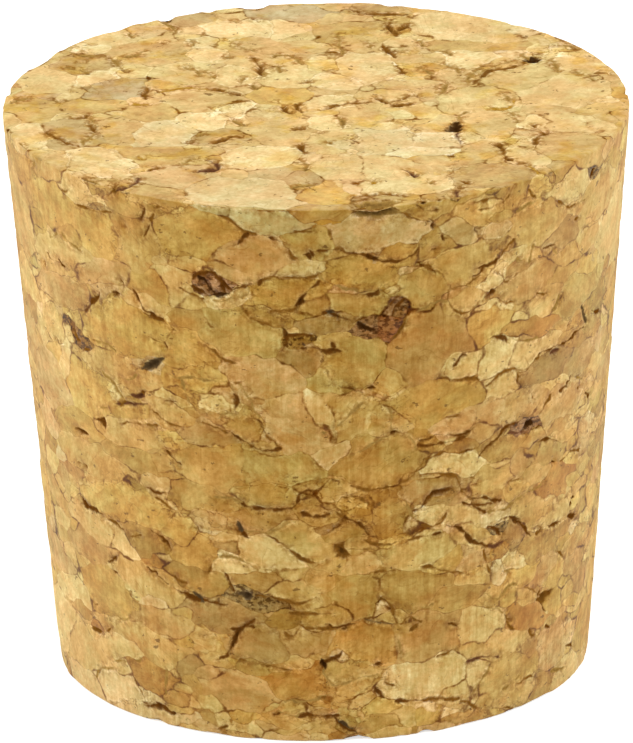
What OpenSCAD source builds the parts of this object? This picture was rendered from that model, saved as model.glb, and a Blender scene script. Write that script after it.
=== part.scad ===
// A tapered stopper, ground from a block of cork granules that are pressed together
// with glue. It stands on its small end: the centre of that face is the origin, and
// +Z is up. The ground skin is open only where granules meet: three-sided pits, slits
// between two granules, cracks that run on from slit to slit, and hollows where a
// small granule has torn out. The two rims are slightly worn and chipped.

/* [Stopper] */
// Length from the small face to the large face
length = 38.1; // [30:0.1:60]
// Diameter of the small face, the end that goes into a neck
small_d = 34.9; // [28:0.1:50]
// Diameter of the large face
large_d = 41.3; // [36:0.1:60]
// Radius to which the rim of the small face is worn
small_rim_r = 0.5; // [0.2:0.05:1.5]
// Radius to which the rim of the large face is worn
large_rim_r = 0.4; // [0.2:0.05:1.5]

/* [Pits, where three granules meet] */
// Distance from the axis of a pit to each of its three sides
pit_r = 0.35; // [0.2:0.05:0.6]
// Depth of a pit
pit_depth = 1; // [0.7:0.05:2]

/* [Slits, where two granules meet] */
// Length of the mouth of a slit
slit_l = 2.2; // [1:0.1:3]
// Width of the mouth of a slit at its middle
slit_w = 0.45; // [0.2:0.05:0.9]
// Depth of a slit at its middle
slit_depth = 0.8; // [0.3:0.05:1]

/* [Cracks, which run from slit to slit] */
// Width of the mouth of a crack
crack_w = 0.3; // [0.1:0.05:0.6]
// Depth of a crack at the middle of each of its legs
crack_depth = 0.6; // [0.2:0.05:0.8]
// Length by which the legs of a crack run into each other
crack_lap = 0.5; // [0.1:0.05:1]

/* [Hollows, where a granule has torn out] */
// Length of the mouth of a hollow
hollow_l = 3.6; // [2:0.1:5]
// Width of the mouth of a hollow at its middle
hollow_w = 1.4; // [0.6:0.1:2]
// Depth of a hollow at its middle
hollow_depth = 0.9; // [0.4:0.05:1.5]

/* [Chips in the rims] */
// Radius of the scoop that a chip leaves
chip_r = 1.4; // [0.8:0.1:3]
// Depth of a chip, measured from the corner before it was worn
chip_depth = 0.55; // [0.3:0.05:0.9]

/* [Back and underside] */
// Number of openings spread over the back of the skin
back_count = 42; // [0:1:90]
// Number of openings spread over the small face
under_count = 16; // [0:1:40]
// Seed of the spread
spread_seed = 12; // [1:1:99]

/* [Hidden] */

taper = atan((large_d - small_d) / 2 / length);
body_fn = 144;
cut_fn = 40;

// Places on the side are [azimuth, height, tilt, size]. Azimuth is in degrees from the
// front, -Y, towards +X. Height is in percent of the length. Tilt is in degrees from
// level, and size multiplies the sizes named above.
SIDE_PITS = [
    [-17, 64, 0, 0.9], [-1.5, 92, 30, 1.1], [21.5, 87, 60, 1.2], [0.5, 15, 0, 1.2],
    [37, 35.5, 30, 1], [-48, 55, 60, 0.9], [61.5, 95, 30, 1.2], [-48.5, 29, 90, 0.7],
    [10.5, 90, 0, 0.9], [-42, 80.5, 0, 1], [-26, 39, 0, 0.6], [10, 66, 20, 0.6],
];
SIDE_SLITS = [
    [-4.5, 76, 60, 0.9], [10, 84, 20, 0.7], [29.5, 93, 0, 0.7], [24, 46, 0, 1],
    [20.7, 44, 70, 0.8], [7, 41, -40, 0.9], [29.5, 36, -20, 1.1], [44.5, 35, -50, 1],
    [-25, 25, 0, 1.2], [-25, 18.6, 0, 0.5], [11.3, 9.5, -50, 0.6], [17, 7, 10, 0.8],
    [-47.5, 77, 60, 0.8], [-35, 79, -35, 0.9], [-55.5, 51.5, 0, 0.8],
    [-56.5, 37.5, -25, 1.1], [-47.5, 36, -10, 0.8], [-37.5, 28.5, -20, 0.8],
    [-39.5, 3.5, 10, 0.7], [48, 86, -10, 0.5], [62, 69.5, -50, 0.8], [60, 66.5, -10, 0.7],
    [55, 32.5, -10, 0.8], [63, 44, 0, 0.5], [67, 53, -20, 0.6], [-11, 94, 0, 0.6],
];
SIDE_HOLLOWS = [
    [-19, 85, 10, 1], [44, 54, 10, 0.6], [-53.5, 70, -60, 0.6], [-40, 59.5, 10, 0.7],
    [-33, 68, 25, 0.55], [14.5, 81, 40, 0.5],
];
// Each crack on the side is a path of [azimuth, height].
SIDE_CRACKS = [
    [[-15.5, 23], [-18, 21.5], [-20, 16.5], [-23, 14.5]],
    [[-5.5, 5], [3, 5], [6.5, 2.5]],
    [[-18, 58], [-15, 55.5], [-8, 54.5]],
    [[-16, 43], [-11, 45], [-5, 47]],
    [[20.5, 54.5], [26, 56.5], [33, 54]],
    [[-13.5, 61], [-11.5, 57.5]],
    [[33, 50.5], [36.5, 54], [42, 55.5]],
    [[30, 66], [33.5, 63.5], [38, 65.5], [42, 64.5]],
    [[45, 65], [52, 66.5], [58, 66]],
    [[30, 43], [36, 41], [42, 39.5]],
];

// Places on the large face are [azimuth, reach, tilt, size]. Reach is in percent of
// the radius of the face, and tilt is in degrees from +X.
TOP_PITS = [
    [60, 49, 90, 1.4], [120, 80, 30, 1.4], [-72, 8, 90, 1.2], [40, 66, 0, 0.9],
    [48, 83, 0, 0.9], [160, 75, 90, 1.3], [-49, 53, 0, 0.9], [137, 41, 30, 1],
    [119.5, 68.5, 60, 1], [53, 73, 90, 1],
];
TOP_SLITS = [
    [-152, 39, 90, 1.1], [152.5, 55, -50, 0.9], [114, 54.5, 60, 0.9], [97, 24, 20, 0.9],
    [90, 10, 0, 1], [-113, 35, -30, 0.9], [-121, 71, -60, 0.9], [-130, 76, 40, 0.7],
    [-82.5, 74, -70, 0.8], [-68.5, 86, -60, 1.1], [-41.5, 45, 60, 0.8],
    [-38, 91, 50, 1], [-5, 42, 90, 0.9], [24, 74, -50, 0.7], [63, 78, 80, 0.8],
    [27, 93, 80, 0.9],
];
TOP_HOLLOWS = [[-29.5, 69, 25, 0.6]];
TOP_CRACKS = [
    [[172, 93], [165, 90], [159, 92]],
    [[119, 68], [114, 57], [110, 48]],
];

// Azimuths of the chips in each rim
LARGE_RIM_CHIPS = [7, 13, 27, 151, 193, 209, 246, 300, 331];
SMALL_RIM_CHIPS = [22, 61, 118, 165, 214, 259, 302];

// The part of the skin that the lists above leave free, in degrees of azimuth
BACK_FROM = 75;
BACK_TO = 285;
GOLDEN_TURN = 0.618034;
SPREAD_TILT = 40;
RIM_MARGIN = 4;

function side_r(z) = (small_d + (large_d - small_d) * z / length) / 2;
function height_of(percent) = length * percent / 100;
function share(n) = n - floor(n);

// Lens-shaped cutter, standing on edge in the skin. Two equal spheres overlap in it, so
// that its mouth has the length and width given and its deepest point is under the
// middle.
module crevice(mouth_l, mouth_w, depth) {
    lens_r = (pow(mouth_l / 2, 2) + depth * depth) / (2 * depth);
    rise = lens_r - depth;
    arc_r = (mouth_l * mouth_l + mouth_w * mouth_w) / (4 * mouth_w);
    intersection_for (side = [-1, 1])
        translate([0, side * (arc_r - mouth_w / 2), rise])
            sphere(r = norm([arc_r, rise]), $fn = cut_fn);
}

// Three-sided cutter with bulging walls, which comes to a point at the given depth
module pit() {
    wall_r = (pit_r + pit_depth * pit_depth / pit_r) / 2;
    intersection_for (turn = [0, 120, 240])
        rotate([0, 0, turn])
            translate([wall_r - pit_r, 0, 0])
                sphere(r = wall_r, $fn = cut_fn);
}

module slit() {
    crevice(slit_l, slit_w, slit_depth);
}

module hollow() {
    crevice(hollow_l, hollow_w, hollow_depth);
}

module crack_leg(leg_l) {
    crevice(leg_l + crack_lap, crack_w, crack_depth);
}

// Each of these seats its children on one surface, with +Z out of the cork.
module on_side(azimuth, height, tilt, size = 1) {
    z = height_of(height);
    rotate([0, 0, azimuth])
        translate([0, -side_r(z), z])
            rotate([90 + taper, 0, 0])
                rotate([0, 0, tilt])
                    scale(size)
                        children();
}

module on_top(azimuth, reach, tilt, size = 1) {
    r = large_d / 2 * reach / 100;
    translate([r * sin(azimuth), -r * cos(azimuth), length])
        rotate([0, 0, tilt])
            scale(size)
                children();
}

module on_underside(azimuth, reach, tilt, size = 1) {
    r = small_d / 2 * reach / 100;
    translate([r * sin(azimuth), -r * cos(azimuth), 0])
        rotate([180, 0, tilt])
            scale(size)
                children();
}

module side_crack(path) {
    for (i = [1:len(path) - 1]) {
        middle = (path[i - 1] + path[i]) / 2;
        turn = (path[i][0] - path[i - 1][0]) * PI / 180;
        run = turn * side_r(height_of(middle[1]));
        climb = height_of(path[i][1] - path[i - 1][1]);
        on_side(middle[0], middle[1], atan2(climb, run))
            crack_leg(norm([run, climb]));
    }
}

function on_disc(azimuth, reach) =
    large_d / 2 * reach / 100 * [sin(azimuth), -cos(azimuth)];

module top_crack(path) {
    for (i = [1:len(path) - 1]) {
        start = on_disc(path[i - 1][0], path[i - 1][1]);
        end = on_disc(path[i][0], path[i][1]);
        run = end - start;
        translate([(start[0] + end[0]) / 2, (start[1] + end[1]) / 2, length])
            rotate([0, 0, atan2(run[1], run[0])])
                crack_leg(norm(run));
    }
}

// The kinds of opening come round in turn, with slits the most common.
module spread_opening(i) {
    kind = i % 5;
    if (kind == 0) pit();
    else if (kind == 3 && i % 2 == 1) hollow();
    else slit();
}

module openings() {
    for (p = SIDE_PITS) on_side(p[0], p[1], p[2], p[3]) pit();
    for (p = SIDE_SLITS) on_side(p[0], p[1], p[2], p[3]) slit();
    for (p = SIDE_HOLLOWS) on_side(p[0], p[1], p[2], p[3]) hollow();
    for (path = SIDE_CRACKS) side_crack(path);
    for (p = TOP_PITS) on_top(p[0], p[1], p[2], p[3]) pit();
    for (p = TOP_SLITS) on_top(p[0], p[1], p[2], p[3]) slit();
    for (p = TOP_HOLLOWS) on_top(p[0], p[1], p[2], p[3]) hollow();
    for (path = TOP_CRACKS) top_crack(path);
    back_openings();
    under_openings();
}

// Heights climb the skin evenly while the azimuth steps on by the golden turn, so no
// two openings lie close together.
module back_openings() {
    tilts = rands(-SPREAD_TILT, SPREAD_TILT, back_count + 1, spread_seed);
    sizes = rands(0.5, 1.1, back_count + 1, spread_seed + 1);
    for (i = [0:1:back_count - 1]) {
        azimuth = BACK_FROM + (BACK_TO - BACK_FROM) * share(i * GOLDEN_TURN);
        height = RIM_MARGIN + (100 - 2 * RIM_MARGIN) * (i + 0.5) / back_count;
        on_side(azimuth, height, tilts[i], sizes[i]) spread_opening(i);
    }
}

module under_openings() {
    tilts = rands(0, 180, under_count + 1, spread_seed + 2);
    sizes = rands(0.6, 1.2, under_count + 1, spread_seed + 3);
    for (i = [0:1:under_count - 1]) {
        reach = (100 - 2 * RIM_MARGIN) * sqrt((i + 0.5) / under_count);
        on_underside(360 * i * GOLDEN_TURN, reach, tilts[i], sizes[i]) spread_opening(i);
    }
}

// A chip is a scoop whose ball bites into the corner from outside, at 45 degrees.
module chips(azimuths, corner_r, corner_z, outward) {
    away = (chip_r - chip_depth) * sqrt(0.5);
    for (azimuth = azimuths)
        rotate([0, 0, azimuth])
            translate([0, -corner_r - away, corner_z + outward * away])
                sphere(r = chip_r, $fn = cut_fn);
}

// Half section of the ground body: a tapered bar with a true arc at each rim
module half_section() {
    small_c = [side_r(small_rim_r) - small_rim_r / cos(taper), small_rim_r];
    large_z = length - large_rim_r;
    large_c = [side_r(large_z) - large_rim_r / cos(taper), large_z];
    outward = [cos(taper), -sin(taper)];
    polygon([
        [0, 0], [small_c[0], 0], small_c + small_rim_r * outward,
        large_c + large_rim_r * outward, [large_c[0], length], [0, length],
    ]);
    translate(small_c) circle(r = small_rim_r, $fn = cut_fn);
    translate(large_c) circle(r = large_rim_r, $fn = cut_fn);
}

module stopper() {
    color("burlywood")
        difference() {
            rotate_extrude($fn = body_fn) half_section();
            openings();
            chips(LARGE_RIM_CHIPS, large_d / 2, length, 1);
            chips(SMALL_RIM_CHIPS, small_d / 2, 0, -1);
        }
}

stopper();
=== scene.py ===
import math
from itertools import combinations

import bpy
import numpy as np
from mathutils import Matrix, Vector, kdtree, noise


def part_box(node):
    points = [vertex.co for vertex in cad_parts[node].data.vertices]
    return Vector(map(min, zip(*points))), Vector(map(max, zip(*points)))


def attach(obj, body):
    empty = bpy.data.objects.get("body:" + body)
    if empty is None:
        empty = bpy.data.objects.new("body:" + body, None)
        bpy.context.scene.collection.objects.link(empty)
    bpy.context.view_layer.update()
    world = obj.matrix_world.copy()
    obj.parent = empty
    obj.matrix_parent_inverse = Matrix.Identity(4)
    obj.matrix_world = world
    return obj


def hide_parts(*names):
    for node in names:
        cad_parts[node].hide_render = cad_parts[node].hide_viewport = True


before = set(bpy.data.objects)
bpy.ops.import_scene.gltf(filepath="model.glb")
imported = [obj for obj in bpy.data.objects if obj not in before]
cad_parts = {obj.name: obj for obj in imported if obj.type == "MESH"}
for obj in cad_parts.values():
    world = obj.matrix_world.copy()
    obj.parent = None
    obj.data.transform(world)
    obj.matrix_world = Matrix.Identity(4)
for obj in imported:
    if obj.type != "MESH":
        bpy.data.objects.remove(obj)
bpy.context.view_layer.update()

# A stopper of pressed cork granules. Lengths are in millimetres on the stopper's own axes until
# the mesh is written in metres. Azimuths are in degrees from the front, -Y, towards +X.

MM = 0.001
SEED = 22
# Without a seed, noise_vector takes its offsets from the clock and each run differs.
noise.seed_set(SEED)

low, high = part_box("stopper")
LENGTH = (high[2] - low[2]) / MM
LARGE_R = (high[0] - low[0]) / 2 / MM
FOOT_BAND = 0.8
SMALL_R = max(
    math.hypot(v.co.x, v.co.y) / MM
    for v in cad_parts["stopper"].data.vertices
    if v.co.z / MM < FOOT_BAND
)
LARGE_RIM_R = 0.2
SMALL_RIM_R = 0.16
TAPER = math.atan((LARGE_R - SMALL_R) / LENGTH)

# ---------------------------------------------------------------------------------------------
# Colours of cork, as they look under plain white light (sRGB, 0 to 255)

CORK = {
    "tan": (200, 157, 86),
    "sand": (209, 168, 99),
    "cream": (215, 178, 112),
    "pale": (220, 187, 129),
    "pink": (206, 164, 101),
    "rose": (194, 149, 83),
    "ochre": (196, 152, 77),
    "gold": (205, 163, 86),
    "olive": (188, 150, 79),
    "green": (209, 173, 103),
    "grey": (188, 148, 85),
    "ash": (202, 165, 105),
    "brown": (181, 137, 67),
    "rust": (189, 137, 65),
    "bark": (156, 112, 46),
    "mauve": (160, 116, 70),
    "slate": (156, 120, 66),
    "russet": (158, 104, 58),
    "amber": (206, 160, 74),
    "sage": (200, 173, 113),
    "milk": (215, 183, 124),
    "moss": (186, 152, 98),
    "drab": (172, 130, 68),
}
FLANK_TINT = (1.035, 1.062, 0.955)
END_TINT = (1.01, 1.085, 1.16)
# A painted reflection: a pale veil added to the colour of the ends, in place of the white surroundings seen glancing
# off them.
END_PAINTED_SHEEN = (0.088, 0.088, 0.064, 1.0)
SIDE_MIX = {
    "tan": 14, "sand": 7, "cream": 1, "pink": 5, "rose": 3, "ochre": 5, "gold": 7,
    "olive": 3, "green": 2, "grey": 2, "ash": 1, "brown": 2, "rust": 1,
}
END_MIX = {
    "tan": 3, "sand": 12, "cream": 4, "pink": 3, "gold": 5, "green": 5, "ash": 1,
}

# Granules on the side: azimuth, height, half width, half height, tilt, colour
SIDE_GRANULES = [
    (-58, 35.4, 3.2, 1.5, 0, "gold"), (-46, 34.3, 2.8, 1.4, 0, "gold"),
    (-52.5, 33.8, 1.4, 0.9, 0, "ochre"), (-53.4, 26.4, 0.7, 0.35, -28, "bark"), (-51, 36.8, 1.8, 0.8, 0, "cream"),
    (-37, 34.5, 2.0, 1.8, 10, "tan"), (-56, 32, 3.0, 1.0, 5, "sand"),
    (-46, 31.7, 2.6, 0.8, 10, "pink"), (-45, 29.9, 1.2, 0.55, 50, "ash"),
    (-56, 29, 3.0, 1.1, 0, "rose"), (-57, 30.8, 2.0, 0.5, 5, "sand"),
    (-41, 28, 3.8, 1.8, 0, "gold"), (-44.5, 25.2, 2.6, 1.0, 0, "sand"),
    (-52.5, 22.5, 2.6, 1.8, 0, "gold"), (-59.5, 23.5, 0.8, 1.2, 0, "cream"),
    (-66, 22, 3.0, 1.8, 0, "pink"), (-42, 20.7, 2.6, 0.8, 0, "sand"),
    (-43, 18.9, 2.0, 0.65, -6, "brown"), (-52, 17.6, 3.4, 1.2, 0, "tan"),
    (-43, 15.4, 3.4, 1.3, 0, "gold"), (-53, 12.9, 2.8, 0.7, -6, "cream"),
    (-45.5, 12.7, 1.4, 0.7, -30, "cream"), (-39.5, 12.8, 1.9, 0.9, 0, "brown"),
    (-56, 11.3, 3.0, 0.9, 0, "rose"), (-41, 10.2, 3.0, 0.9, -10, "sand"),
    (-51, 8.4, 2.1, 1.4, 0, "ochre"), (-66, 7.3, 2.2, 0.7, 10, "cream"),
    (-41, 5.9, 3.2, 0.9, -8, "sand"), (-37, 7.6, 1.6, 0.8, 0, "rose"),
    (-48, 5.0, 2.2, 0.9, 15, "cream"), (-42, 3.0, 1.8, 1.1, 0, "rust"),
    (-50, 1.7, 3.4, 1.3, 0, "pale"), (-63, 3.0, 3.2, 1.6, 0, "cream"),
    (-22.5, 35.8, 2.8, 1.6, 10, "ochre"), (-3.2, 35.4, 1.3, 0.75, 0, "olive"), (-3, 33.9, 1.3, 0.55, 0, "cream"), (-11, 37.1, 2.3, 0.8, -8, "sage"), (-19, 37.7, 1.2, 0.35, -6, "sage"),
    (-13, 34.6, 2.8, 1.3, 0, "pink"), (-8, 31.8, 1.8, 1.1, 20, "ochre"),
    (-10, 30.3, 1.3, 0.7, 10, "brown"), (-28, 32.4, 1.3, 0.8, -20, "cream"), (-20, 32.1, 1.0, 0.58, -6, "mauve"), (-16.5, 31.3, 1.6, 0.35, 8, "cream"),
    (-14.5, 28.9, 3.0, 1.6, 0, "olive"), (-10.5, 26.3, 2.2, 1.5, 0, "pink"),
    (-26, 27.8, 2.0, 1.5, 0, "ochre"), (-23, 21.7, 1.6, 0.6, 0, "grey"), (-24, 16.8, 2.2, 0.7, 0, "brown"),
    (-21, 19.3, 3.4, 1.3, 0, "tan"), (-10, 19.4, 2.6, 1.2, 0, "olive"),
    (-6, 22.8, 2.4, 1.5, 0, "pink"), (-10, 17.7, 1.8, 0.7, 0, "olive"),
    (-11, 15.8, 2.2, 0.7, 5, "rose"), (-4, 14.6, 2.2, 1.2, 0, "green"),
    (-1.5, 16.3, 0.9, 0.9, 0, "brown"), (-11.5, 13.5, 1.5, 1.1, 0, "cream"),
    (-20, 12.5, 1.8, 0.6, 0, "cream"), (-11.6, 9.9, 1.5, 0.45, 0, "slate"), (-16.2, 10.4, 0.7, 0.4, 0, "slate"),
    (-13.5, 6.7, 1.9, 1.1, 10, "grey"), (-4, 4.1, 2.2, 0.9, 0, "rust"),
    (10.5, 36.2, 2.9, 1.5, 0, "ash"), (10.6, 37.75, 1.5, 0.3, 0, "brown"), (8.5, 33.4, 2.4, 1.0, 0, "ochre"),
    (19, 32.3, 1.5, 1.1, 0, "olive"), (15.4, 30.9, 0.6, 0.35, 35, "mauve"), (28, 33.3, 2.6, 1.3, -10, "tan"),
    (28.5, 30.7, 1.4, 0.6, 15, "sand"), (35.5, 31.7, 1.6, 0.9, 30, "cream"), (21.5, 28.3, 2.6, 2.4, 0, "rose"),
    (5, 27.4, 2.6, 2.0, 0, "olive"), (8.4, 29.3, 0.75, 0.5, 0, "mauve"), (13.4, 29.4, 0.95, 0.6, 0, "russet"),
    (5, 23.5, 2.0, 1.4, 0, "sand"), (12.5, 20.2, 2.7, 1.6, 0, "brown"),
    (22, 23.5, 3.2, 1.4, 0, "ochre"), (13.5, 15.9, 1.2, 1.5, 0, "brown"),
    (21.5, 17.5, 2.2, 0.9, 0, "grey"), (19.5, 13.1, 2.2, 0.9, 0, "green"),
    (29.4, 15.4, 1.6, 0.5, -26, "cream"), (34, 13.1, 1.6, 0.7, -8, "sand"), (7, 10.8, 1.5, 1.2, 0, "brown"),
    (20, 10.8, 2.4, 1.2, 0, "brown"), (8.5, 7.0, 2.2, 1.0, 0, "rust"),
    (22.5, 7.2, 2.5, 1.7, 0, "rose"), (22.5, 3.9, 3.5, 1.4, 0, "cream"), (22.3, 15.6, 0.9, 0.5, 0, "cream"), (33, 3.2, 1.0, 1.2, -20, "cream"),
    (36.4, 25.9, 1.5, 1.0, 0, "cream"), (42, 25.7, 1.8, 0.8, -6, "cream"), (47.8, 25.7, 1.3, 0.5, 0, "cream"),
    (45, 27.2, 2.3, 0.5, -4, "rust"), (52, 23.9, 2.8, 1.0, 0, "drab"), (60, 23.4, 2.2, 1.1, -8, "grey"),
    (38, 23.9, 1.1, 0.8, 0, "cream"), (40, 22, 2.6, 0.9, 0, "pink"),
    (55, 21, 2.6, 1.0, 0, "pink"), (37.5, 19.6, 1.6, 0.8, 10, "brown"), (44, 20.3, 1.2, 0.4, 5, "mauve"),
    (44, 34.5, 2.0, 1.3, 0, "sand"),
    (55.5, 36.1, 2.2, 1.1, -8, "cream"), (61.8, 36.4, 0.7, 0.5, 0, "slate"), (65, 34.6, 3.2, 1.4, 0, "sand"),
    (52.5, 32.8, 1.5, 0.7, 0, "grey"), (42.5, 30.6, 2.4, 1.0, 0, "rose"),
    (48.5, 28.9, 1.8, 0.7, 0, "sand"), (57, 28.3, 2.2, 1.3, 0, "olive"),
    (55, 15.7, 2.1, 0.9, 0, "rust"), (48.5, 14.2, 1.6, 1.2, 0, "sand"),
    (37.8, 13.5, 0.55, 0.35, 0, "slate"), (41.6, 13, 0.8, 1.0, 0, "drab"), (49.5, 11.3, 1.9, 0.8, 0, "brown"),
    (38, 12.0, 1.2, 0.45, 0, "rust"), (38, 10.8, 1.0, 0.7, 0, "pale"), (43, 10.9, 1.2, 0.6, 0, "cream"),
    (33.5, 7.3, 2.2, 1.1, -8, "cream"), (47, 6.3, 1.7, 0.9, -14, "rust"),
    (40, 5.2, 2.6, 0.8, 0, "sand"), (43, 2.9, 2.6, 1.2, 0, "tan"),
    (48, 1.2, 1.7, 0.7, 0, "sand"), (57.5, 3.4, 1.7, 1.4, 0, "pink"),
    (1.5, 38.0, 2.0, 0.5, 0, "brown"), (23, 37.9, 2.2, 0.8, 0, "brown"), (-31, 38, 2.0, 0.6, 0, "tan"),
    (76, 31, 3.0, 2.2, 0, "cream"), (-77, 32.6, 3.0, 2.2, 0, "sand"), (-76, 4, 3.0, 2.0, 0, "cream"),
    (2.5, 14.9, 2.2, 0.7, 0, "brown"), (-3.2, 28.6, 1.3, 0.5, 0, "bark"), (-1, 27.6, 2.2, 1.0, 0, "drab"),
    (27.5, 9.6, 2.0, 0.8, 0, "brown"), (-20.5, 8.6, 2.0, 0.8, 0, "drab"), (-27, 11.2, 1.8, 0.7, 0, "brown"),
    (4.8, 4.3, 2.0, 1.0, 0, "tan"), (27, 26.2, 1.6, 0.8, 0, "cream"), (34.3, 10.6, 1.6, 0.8, 0, "tan"),
    (1.5, 23.3, 1.6, 1.0, 0, "cream"), (-55, 19.8, 2.4, 1.1, 0, "ochre"), (-4.5, 7.1, 1.8, 0.8, 0, "rose"),
    (27, 18.9, 2.2, 0.7, 0, "cream"), (-40.5, 22.3, 2.0, 0.5, 0, "ochre"), (-32.5, 32, 1.5, 0.8, 0, "ochre"),
    (15, 38, 2.2, 0.5, 0, "ochre"), (-6, 10.4, 1.6, 0.7, 0, "sand"), (-46, 0.6, 2.6, 0.9, 0, "pale"),
    (14, 22.9, 1.6, 0.9, 0, "sand"), (60.5, 25, 2.0, 0.9, 0, "brown"), (7, 31.3, 1.5, 0.6, 0, "olive"),
    (-72, 36.6, 2.2, 0.9, 0, "ochre"), (21.5, 34.9, 1.5, 0.7, 0, "brown"), (1.4, 29.9, 1.6, 0.6, 0, "drab"),
    (-15, 11.4, 1.5, 0.6, 0, "rose"), (26.5, 12, 1.8, 0.5, 0, "gold"), (35.5, 17.2, 1.6, 0.7, 0, "tan"),
    (39.5, 31.9, 1.3, 0.7, 0, "rose"), (-12.8, 22.6, 1.4, 0.7, 0, "brown"), (31.5, 37, 1.4, 0.8, 0, "tan"),
    (54, 0.8, 2.0, 0.9, 0, "brown"), (76, 3, 2.4, 1.4, 0, "ochre"), (-16.4, 33.5, 1.2, 0.55, -12, "pink"),
    (-24.6, 33.8, 1.0, 0.45, 0, "tan"), (-25.3, 25.7, 1.7, 0.7, 0, "gold"), (64, 0.8, 2.2, 0.9, 0, "cream"),
    (32.3, 11.9, 1.6, 0.7, 0, "pink"), (37, 14.6, 1.1, 0.5, 0, "pale"), (-47.5, 3.2, 1.4, 0.7, 0, "cream"),
    (16.6, 34.7, 1.4, 0.6, 0, "ochre"), (0.3, 14.9, 1.4, 0.5, 0, "drab"), (-24.5, 29.5, 1.5, 0.6, 0, "brown"),
    (-31.6, 22.8, 1.6, 0.7, 0, "sand"), (-25, 12.7, 1.4, 0.7, 0, "ochre"), (-63, 0.6, 2.2, 1.0, 0, "pale"), (29, 2.7, 1.5, 0.8, 0, "cream"),
]

# Granules on the large face: x, y, half length, half width, turn, colour
TOP_GRANULES = [
    (-15.3, 8.8, 2.1, 1.6, 10, "brown"), (-13, 3.4, 2.4, 1.7, 50, "moss"),
    (-14.3, 6, 1.5, 1.0, 50, "cream"), (-10.8, 10.6, 2.4, 2.2, 0, "sand"),
    (-7.4, 0.9, 2.4, 2.2, 0, "sand"), (-2.5, 2.1, 1.6, 1.3, 0, "amber"),
    (-4.8, 15.2, 2.0, 1.7, 0, "cream"), (-8.8, 6.2, 1.5, 1.7, 0, "green"),
    (-18, 6, 1.6, 2.2, 0, "cream"), (-18.5, -0.2, 1.8, 1.8, 0, "ochre"),
    (-11.5, 15.2, 1.2, 0.9, 0, "pink"), (-8.5, 17.4, 1.3, 1.2, 0, "grey"),
    (2.8, 14.2, 1.9, 2.1, 0, "ochre"), (10.5, 15.3, 3.8, 3.2, -30, "cream"),
    (3.4, 7.6, 2.1, 2.6, 0, "cream"), (6.7, 6.8, 1.3, 1.1, 0, "amber"),
    (7.2, 9.0, 1.5, 0.9, 0, "sand"), (10.5, 11.3, 2.8, 1.0, 0, "ochre"),
    (13.4, 5, 2.1, 2.0, 0, "green"), (16.5, 2.2, 2.6, 3.2, 0, "cream"),
    (10.2, 0.2, 2.3, 2.2, 0, "green"), (9.8, 8.6, 2.0, 1.6, -40, "cream"),
    (-16.2, -4.8, 1.9, 2.6, 0, "grey"), (-9.8, -5.8, 1.9, 2.2, 0, "milk"),
    (-9.6, -9.1, 2.5, 1.1, 0, "ochre"), (-7.3, -2.8, 1.4, 1.9, 0, "cream"),
    (-6.6, -6.2, 1.9, 1.3, 0, "brown"), (-3.6, -10.4, 2.4, 2.1, 30, "cream"),
    (-5, -17.2, 3.2, 2.7, 0, "milk"), (-2.3, -12.9, 1.4, 0.9, 40, "grey"), (-0.9, -15, 0.9, 1.6, 0, "grey"),
    (-17.6, -10, 1.8, 2.0, 0, "sand"), (-9.3, -13.6, 2.2, 1.9, 30, "pink"),
    (-14.2, -11, 1.9, 2.8, 20, "cream"), (4.2, -7.6, 2.2, 2.2, 20, "milk"), (7.6, -7.4, 1.6, 1.6, 0, "milk"),
    (3.2, -2.6, 1.6, 1.5, 0, "sand"), (5, -13, 2.2, 2.4, 0, "cream"), (1.6, -12.4, 1.6, 2.0, 0, "cream"),
    (11.2, -4.2, 1.8, 2.6, 0, "sand"), (16.5, -9.2, 2.2, 2.6, 10, "sand"),
    (13.6, -11.2, 1.4, 1.5, 0, "cream"), (3.7, -19.5, 1.5, 0.9, 0, "brown"), (7.4, -11.0, 1.7, 1.0, 0, "sand"),
    (11.2, -14.8, 2.8, 2.2, 40, "brown"), (5.5, -16, 2.8, 1.8, 0, "cream"),
    (0.6, -18, 1.4, 2.0, 0, "amber"), (17.5, 7, 1.6, 2.2, 0, "tan"),
    (-2.2, -5, 2.2, 2.4, 0, "sand"), (-14.5, 0.4, 1.8, 1.2, 0, "gold"),
    (0.8, 0.5, 1.4, 1.2, 0, "cream"), (-1.8, 18.6, 2.4, 1.3, 0, "moss"), (-10.6, -0.8, 1.5, 1.3, 0, "ochre"),
    (-18.6, -5.8, 1.2, 2.0, 0, "cream"), (16.4, -12.6, 1.3, 1.0, 35, "brown"), (12.6, 14.4, 2.2, 1.4, -30, "milk"),
    (9.9, -6.8, 1.0, 1.0, 0, "cream"), (6.4, -9.6, 1.8, 1.1, 0, "milk"),
    (-3.7, 9.4, 1.6, 1.4, 0, "sand"), (-2.7, -19.4, 1.4, 0.8, 0, "milk"), (-13.2, 14.3, 1.8, 1.4, 0, "cream"),
    (17.6, 9, 1.2, 1.2, 0, "cream"), (1.3, 4.6, 1.4, 1.4, 0, "cream"), (4.2, 19, 1.6, 0.9, 0, "brown"),
    (5.4, -18.4, 1.4, 0.8, 0, "brown"), (-5.8, -0.4, 1.2, 1.2, 0, "cream"), (12.2, 7.7, 1.4, 1.0, 0, "ochre"),
    (-9.6, -10.6, 1.6, 0.8, 0, "ochre"), (2.4, -7.8, 1.2, 1.0, 0, "milk"),
]

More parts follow.
